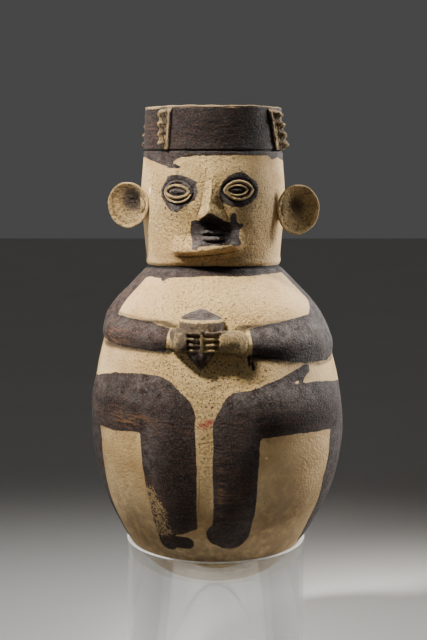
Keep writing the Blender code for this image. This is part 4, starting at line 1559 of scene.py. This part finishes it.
@dataclass(frozen=True)
class ClearAcrylic:
    """Extruded clear acrylic: glassy walls with hard thin highlights at their edges."""

    tint: str = "F7FBFC"
    ior: float = 1.49
    roughness: float = 0.02
    alpha: float = 0.35

    def build(self) -> bpy.types.Material:
        """Make the tube's clear material.

        Returns:
            The material, see-through by plain values on its shader.
        """
        made, _, shader = blank_material("clear_extruded_acrylic")
        shader.inputs["Base Color"].default_value = linear(self.tint)
        shader.inputs["Roughness"].default_value = self.roughness
        shader.inputs["IOR"].default_value = self.ior
        shader.inputs["Transmission Weight"].default_value = 1.0
        shader.inputs["Alpha"].default_value = self.alpha
        return made


@dataclass(frozen=True)
class SawnAcrylic:
    """The tube's sawn and scraped end: satin, and milky bright where it gathers light."""

    tint: str = "F4F6F6"
    ior: float = 1.49
    roughness: float = 0.45
    transmission: float = 0.35
    scrape_size: float = 2.0
    scrape_depth: float = 0.2

    def build(self) -> bpy.types.Material:
        """Make the material of the tube's cut ends.

        Returns:
            The material, with faint scrape marks.
        """
        made, tree, shader = blank_material("sawn_acrylic_edge")
        place = add(tree, "ShaderNodeTexCoord").outputs["Object"]
        scrape = add(tree, "ShaderNodeTexNoise", None,
                     {"Vector": place, "Scale": per_mm(self.scrape_size), "Detail": 3.0})
        bump = add(tree, "ShaderNodeBump", None,
                   {"Strength": 0.4, "Distance": self.scrape_depth * MM,
                    "Height": scrape.outputs["Fac"]})
        tree.links.new(bump.outputs["Normal"], shader.inputs["Normal"])
        shader.inputs["Base Color"].default_value = linear(self.tint)
        shader.inputs["Roughness"].default_value = self.roughness
        shader.inputs["IOR"].default_value = self.ior
        shader.inputs["Transmission Weight"].default_value = self.transmission
        return made


@dataclass(frozen=True)
class PaleFloor:
    """Matt pale grey floor paint with a faint cloudiness."""

    colour: str = "CFCDC9"
    shade: str = "C4C2BE"
    roughness: float = 0.7
    cloud_size: float = 350.0

    def build(self) -> bpy.types.Material:
        """Make the floor's material.

        Returns:
            The material, two near greys mixed by slow clouds.
        """
        made, tree, shader = blank_material("pale_floor_paint")
        place = add(tree, "ShaderNodeTexCoord").outputs["Object"]
        clouds = add(tree, "ShaderNodeTexNoise", None,
                     {"Vector": place, "Scale": per_mm(self.cloud_size), "Detail": 4.0})
        mix = add(tree, "ShaderNodeMix", {"data_type": "RGBA"},
                  {0: clouds.outputs["Fac"], 6: linear(self.colour), 7: linear(self.shade)})
        tree.links.new(mix.outputs[2], shader.inputs["Base Color"])
        shader.inputs["Roughness"].default_value = self.roughness
        return made


@dataclass
class Urn:
    """The whole urn: vessel, ears, hands and cup as one closed skin of clay."""

    skin: Skin
    relief: Relief
    ears: tuple[Ear, ...] = (
        Ear((-85.0, -26.0, 486.0), 22.0, 23.5, (4.0, 4.5), 1.9),
        Ear((80.0, -26.0, 481.5), 24.2, 30.0, (0.5, 4.0), 0.7))
    hands: HandsAndCup = field(default_factory=HandsAndCup)
    finish: PaintedClay = field(default_factory=PaintedClay)
    plain_grit: float = 0.12
    strip_grit: float = 0.9
    most_soot: float = 1.3
    lid_soot: float = 0.45
    rim_soot: float = 1.05
    rim_edge: Station = (575.0, 577.5)
    rim_cut: Station = (573.0, 585.0)
    inside_from: float = -2.5
    inside_soot: float = 0.35
    rim_low: float = 572.0
    hollow_rounds: int = 5
    hollow_depth: float = 0.45

    def build(self) -> bpy.types.Object:
        """Return the dressed urn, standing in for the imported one.

        Returns:
            The urn's finished object.
        """
        made = Vessel(self.skin, self.relief).build()
        made.name = "urn_painted"
        applied = [self.hands.build()]
        for ear in self.ears:
            for name, shape in (("disc", ear.disc), ("stem", ear.stem)):
                bm = bmesh.new()
                shape(bm)
                applied.append(mesh_object(bm, "urn_ear_" + name))
        for part in applied:
            join = made.modifiers.new(part.name, "BOOLEAN")
            join.operation = "UNION"
            join.solver = "MANIFOLD"
            join.object = part
        baked(made)
        for part in applied:
            bpy.data.objects.remove(part)
        made.data.shade_smooth()
        self.mark(made)
        made.data.materials.clear()
        made.data.materials.append(self.finish.build())
        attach(made, "root")
        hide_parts("urn")
        return made

    def mark(self, made: bpy.types.Object) -> None:
        """Write the finish's point attributes from each point's place on the urn.

        Args:
            made: The urn's finished object.
        """
        mesh = made.data
        places = np.zeros(len(mesh.vertices) * 3)
        mesh.vertices.foreach_get("co", places)
        points = places.reshape(-1, 3) / MM - np.array(AXIS)
        azimuth, height, reach = self.skin.polar(points)
        proud = reach - self.skin.radius(height)
        marks = self.painted(azimuth, height)
        self.mark_applied(marks, points, azimuth, proud)
        # painted shade for hollows and creases, from how hollow the surface is
        marks[Mark.HOLLOW_SHADE] = self.hollows(mesh, points)
        inside = proud < self.inside_from
        marks[Mark.PAINT] = np.where(inside, BARE, marks[Mark.PAINT])
        marks[Mark.SOOT_AND_SHADE] = np.where(inside & (height < self.rim_low), self.inside_soot,
                                    marks[Mark.SOOT_AND_SHADE])
        for mark, values in marks.items():
            layer = mesh.attributes.new(mark.value, "FLOAT", "POINT")
            layer.data.foreach_set("value", values.astype(np.float32))

    def painted(self, azimuth: np.ndarray, height: np.ndarray) -> dict[Mark, np.ndarray]:
        """Return the marks of the skin itself.

        Args:
            azimuth: Azimuths of the points.
            height: Heights of the points.

        Returns:
            One array of values for each mark but the hollows.
        """
        edge = np.full(azimuth.shape, -FAR)
        haze_light_shade, wear = np.zeros(azimuth.shape), np.zeros(azimuth.shape)
        for area in PAINT:
            depth = area.depth(azimuth, height)
            better = depth > edge
            edge = np.where(better, depth, edge)
            haze_light_shade = np.where(better, area.haze_light_shade, haze_light_shade)
            wear = np.where(better, area.wear, wear)
        for strip in self.relief.strips:
            edge = np.minimum(edge, 0.4 - strip.depth(azimuth, height))
        # the rim is bare above the two front strips too
        for strip in self.relief.strips[:2]:
            over = replace(strip, low=self.rim_cut[0], high=self.rim_cut[1], tooth=0.0,
                           foot=strip.head)
            edge = np.minimum(edge, -over.depth(azimuth, height))
        for eye in self.relief.eyes:
            edge = np.minimum(edge, -2.6 * eye.bare(azimuth, height))
        wear = np.clip(wear + smudged(WORN, azimuth, height), 0.0, 1.0)
        # grey bloom, with painted light where parts face the light and painted shade where they
        # are blacker
        haze_light_shade = np.clip(haze_light_shade + smudged(HAZE_LIGHT_SHADE_SPOTS, azimuth, height), 0.0, 1.0)
        bare = np.maximum.reduce([ramp(strip.depth(azimuth, height), -1.0, 0.5)
                                  for strip in self.relief.strips])
        # soot and dirt, with painted shade low on the belly, under the jaw and below the hands
        soot_and_shade = smudged(SOOT_AND_SHADE_SPOTS, azimuth, height) + bare
        soot_and_shade = soot_and_shade + self.rim_soot * ramp(height, *self.rim_edge)
        for eye in self.relief.eyes:
            soot_and_shade = soot_and_shade + self.lid_soot * ramp(eye.bare(azimuth, height), -0.6, 0.3)
        grit = self.plain_grit + smudged(GRITTY, azimuth, height) + self.strip_grit * bare
        tints = {mark: np.clip(smudged(spots, azimuth, height), 0.0, 1.0)
                 for mark, spots in TINTED.items()}
        return tints | {
            Mark.PAINT: np.clip(edge, BARE, -BARE),
            Mark.HAZE_LIGHT_SHADE: haze_light_shade,
            Mark.WEAR: wear,
            Mark.SCRATCH: np.clip(smudged(SCRATCHED, azimuth, height), 0.0, 1.0),
            Mark.GRIT: np.clip(grit, 0.0, 1.0),
            Mark.WARM: np.clip(smudged(ROSY, azimuth, height), 0.0, 1.0),
            Mark.SOOT_AND_SHADE: np.clip(soot_and_shade, 0.0, self.most_soot),
        }

    def mark_applied(self, marks: dict[Mark, np.ndarray], points: np.ndarray,
                     azimuth: np.ndarray, proud: np.ndarray) -> None:
        """Change the marks on ears, hands and cup, which stand clear of the skin.

        Args:
            marks: The marks to change.
            points: Places of the points about the urn's axis.
            azimuth: Azimuths of the points.
            proud: How far each point stands outside the plain skin.
        """
        x, _, up = points.T
        ear = (proud > 2.5) & (np.abs(azimuth) > 55.0) & (up > 452.0) & (up < 512.0)
        raised = proud - self.relief.limbs(azimuth, up)
        hand = (raised > 1.6) & (np.abs(x + 9.0) < 44.0) & (up > 338.0) & (up < 400.0)
        left_half = hand & (x < -13.0)
        cup_band = hand & (up > 374.5) & (np.abs(x + 13.0) < 22.5)
        cup_shoulder = hand & (up > 383.6)
        cup_lid = hand & (up > 385.6)
        # the cup's point gets dark paint that stands for the shade it lies in below the hands
        cup_point_shade = hand & (up < 357.5) & (np.abs(x + 13.5) < 17.0)
        for region, values in (
                (ear, {Mark.PAINT: BARE, Mark.GRIT: 0.9, Mark.WARM: 0.1, Mark.SOOT_AND_SHADE: 0.22}),
                (hand, {Mark.PAINT: BARE, Mark.GRIT: 1.0, Mark.WARM: 0.0, Mark.SOOT_AND_SHADE: 0.6}),
                (left_half, {Mark.SOOT_AND_SHADE: 1.0}),
                (cup_band, {Mark.SOOT_AND_SHADE: 1.3}),
                (cup_shoulder, {Mark.SOOT_AND_SHADE: 0.15}),
                (cup_point_shade, {Mark.PAINT: 0.6, Mark.HAZE_LIGHT_SHADE: 0.5, Mark.WEAR: 0.5}),
                (cup_lid, {Mark.PAINT: 4.0, Mark.HAZE_LIGHT_SHADE: 0.9, Mark.WEAR: 0.25})):
            for mark, value in values.items():
                marks[mark] = np.where(region, value, marks[mark])
        # painted shade in the deepest part of each ear's dish
        for piece in self.ears:
            deepest = piece.frame() @ Vector((piece.dish_offset[0], piece.dish,
                                              piece.dish_offset[1]))
            gap = np.linalg.norm(points - np.array(deepest), axis=1)
            marks[Mark.SOOT_AND_SHADE] += np.where(ear, piece.dish_shade * bell(gap, 0.5 * piece.radius),
                                         0.0)

    def hollows(self, mesh: bpy.types.Mesh, points: np.ndarray) -> np.ndarray:
        """Return how hollow the surface is at each point, below zero where it is raised.

        Args:
            mesh: The urn's mesh.
            points: Places of the points about the urn's axis.

        Returns:
            A value from -1 to 1 for each point.
        """
        pairs = np.zeros(len(mesh.edges) * 2, int)
        mesh.edges.foreach_get("vertices", pairs)
        first, second = pairs.reshape(-1, 2).T
        count = np.bincount(pairs, minlength=len(points))[:, None]
        smooth = points.copy()
        for _ in range(self.hollow_rounds):
            total = np.zeros(points.shape)
            for axis in range(3):
                total[:, axis] = (np.bincount(first, smooth[second, axis], len(points))
                                  + np.bincount(second, smooth[first, axis], len(points)))
            smooth = 0.4 * smooth + 0.6 * total / count
        normals = np.zeros(len(points) * 3)
        mesh.vertices.foreach_get("normal", normals)
        away = np.einsum("ij,ij->i", smooth - points, normals.reshape(-1, 3))
        return np.clip(away / self.hollow_depth, -1.0, 1.0)


@dataclass
class DisplayTube:
    """The open clear tube that cradles the urn's round foot."""

    outer_radius: float = 90.0
    wall: float = 4.0
    height: float = 150.0
    segments: int = 160
    edge_bevel: float = 0.35

    def build(self) -> bpy.types.Object:
        """Return the tube, its edges just broken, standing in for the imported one.

        Returns:
            The tube's finished object.
        """
        inner = self.outer_radius - self.wall
        corners = ((self.outer_radius, self.height), (self.outer_radius, 0.0),
                   (inner, 0.0), (inner, self.height))
        bm = bmesh.new()
        turn_shape(bm, [(radius, 0.0, up) for radius, up in corners], self.segments,
                   closed=True)
        bmesh.ops.recalc_face_normals(bm, faces=bm.faces)
        sharp = [edge for edge in bm.edges if edge.calc_face_angle(0.0) > math.radians(60.0)]
        bmesh.ops.bevel(bm, geom=sharp, offset=self.edge_bevel, offset_type="OFFSET",
                        affect="EDGES", segments=2, profile=0.5, material=-1)
        for face in bm.faces:
            face.material_index = 1 if abs(face.normal.z) > 0.3 else 0
        made = mesh_object(bm, "clear_tube")
        made.data.set_sharp_from_angle(angle=math.radians(30.0))
        made.data.materials.append(ClearAcrylic().build())
        made.data.materials.append(SawnAcrylic().build())
        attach(made, "root")
        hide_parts("clear_stand_tube")
        return made


@dataclass(frozen=True)
class SoftBox:
    """A square area light: where it stands, what it looks at, its size and its power."""

    name: str
    place: Station
    target: Station
    size: float
    power: float
    colour: Station = (1.0, 1.0, 1.0)
    spread: float = 180.0

    def build(self) -> bpy.types.Object:
        """Return the light.

        Returns:
            The light's object, turned to what it looks at.
        """
        data = bpy.data.lights.new(self.name, "AREA")
        data.shape = "SQUARE"
        data.size = self.size
        data.energy = self.power
        data.color = self.colour
        data.spread = math.radians(self.spread)
        made = linked(self.name, data)
        made.location = self.place
        way = Vector(self.target) - Vector(self.place)
        made.rotation_euler = way.to_track_quat("-Z", "Y").to_euler()
        return made


@dataclass
class Studio:
    """Floor, lights, sky and camera, in metres."""

    camera_place: Station = (-0.0043, -1.1853, 0.5286)
    camera_tilt: float = 7.58
    sensor: float = 36.0
    lens: float = 67.53
    floor_size: float = 14.0
    sky: str = "C9C9C9"
    sky_strength: float = 0.12
    lights: tuple[SoftBox, ...] = (
        SoftBox("key", (-0.90, -0.56, 2.04), (-0.01, -0.07, 0.43), 0.24, 1.25,
                (1.0, 0.96, 0.91), 14.0),
        SoftBox("front", (-0.9, -1.6, 1.1), (0.0, 0.0, 0.4), 0.8, 2.2, (1.0, 0.98, 0.95)),
        SoftBox("fill", (1.7, -1.4, 0.9), (0.0, 0.0, 0.4), 1.2, 2.1, (0.97, 0.98, 1.0)),
        SoftBox("left_edge", (-1.15, 0.6, 0.8), (0.0, 0.0, 0.36), 0.5, 1.1,
                (1.0, 1.0, 1.0), 50.0),
        SoftBox("right_edge", (1.15, 0.6, 0.9), (0.0, 0.0, 0.36), 0.5, 5.0,
                (1.0, 1.0, 1.0), 50.0))

    def floor(self) -> bpy.types.Object:
        """Return the plain pale floor.

        Returns:
            The floor's object.
        """
        bm = bmesh.new()
        bmesh.ops.create_grid(bm, x_segments=1, y_segments=1, size=self.floor_size / 2.0)
        mesh = bpy.data.meshes.new("floor")
        bm.to_mesh(mesh)
        bm.free()
        mesh.materials.append(PaleFloor().build())
        made = linked("floor", mesh)
        return made

    def camera(self) -> bpy.types.Object:
        """Return the camera, at the photograph's place and tilt.

        Returns:
            The scene's camera.
        """
        data = bpy.data.cameras.new("camera")
        data.sensor_fit = "VERTICAL"
        data.sensor_width = self.sensor
        data.sensor_height = self.sensor
        data.lens = self.lens
        made = linked("camera", data)
        made.location = self.camera_place
        made.rotation_euler = (math.radians(90.0 - self.camera_tilt), 0.0, 0.0)
        bpy.context.scene.camera = made
        return made

    def build(self) -> None:
        """Set up the floor, the lights, the sky and the camera."""
        self.floor()
        self.camera()
        for light in self.lights:
            light.build()
        world = bpy.data.worlds.new("studio")
        world.use_nodes = True
        sky = world.node_tree.nodes["Background"]
        sky.inputs["Color"].default_value = linear(self.sky)
        sky.inputs["Strength"].default_value = self.sky_strength
        bpy.context.scene.world = world


def main() -> None:
    """Build the studio, the urn and its tube, and report each piece."""
    logging.basicConfig(level=logging.INFO, format="%(name)s: %(message)s")
    Studio().build()
    for piece in (Urn(SKIN, Relief()), DisplayTube()):
        made = piece.build()
        triangles = sum(len(face.vertices) - 2 for face in made.data.polygons)
        LOG.info("%s has %d triangles", made.name, triangles)


if __name__ == "__main__":
    main()
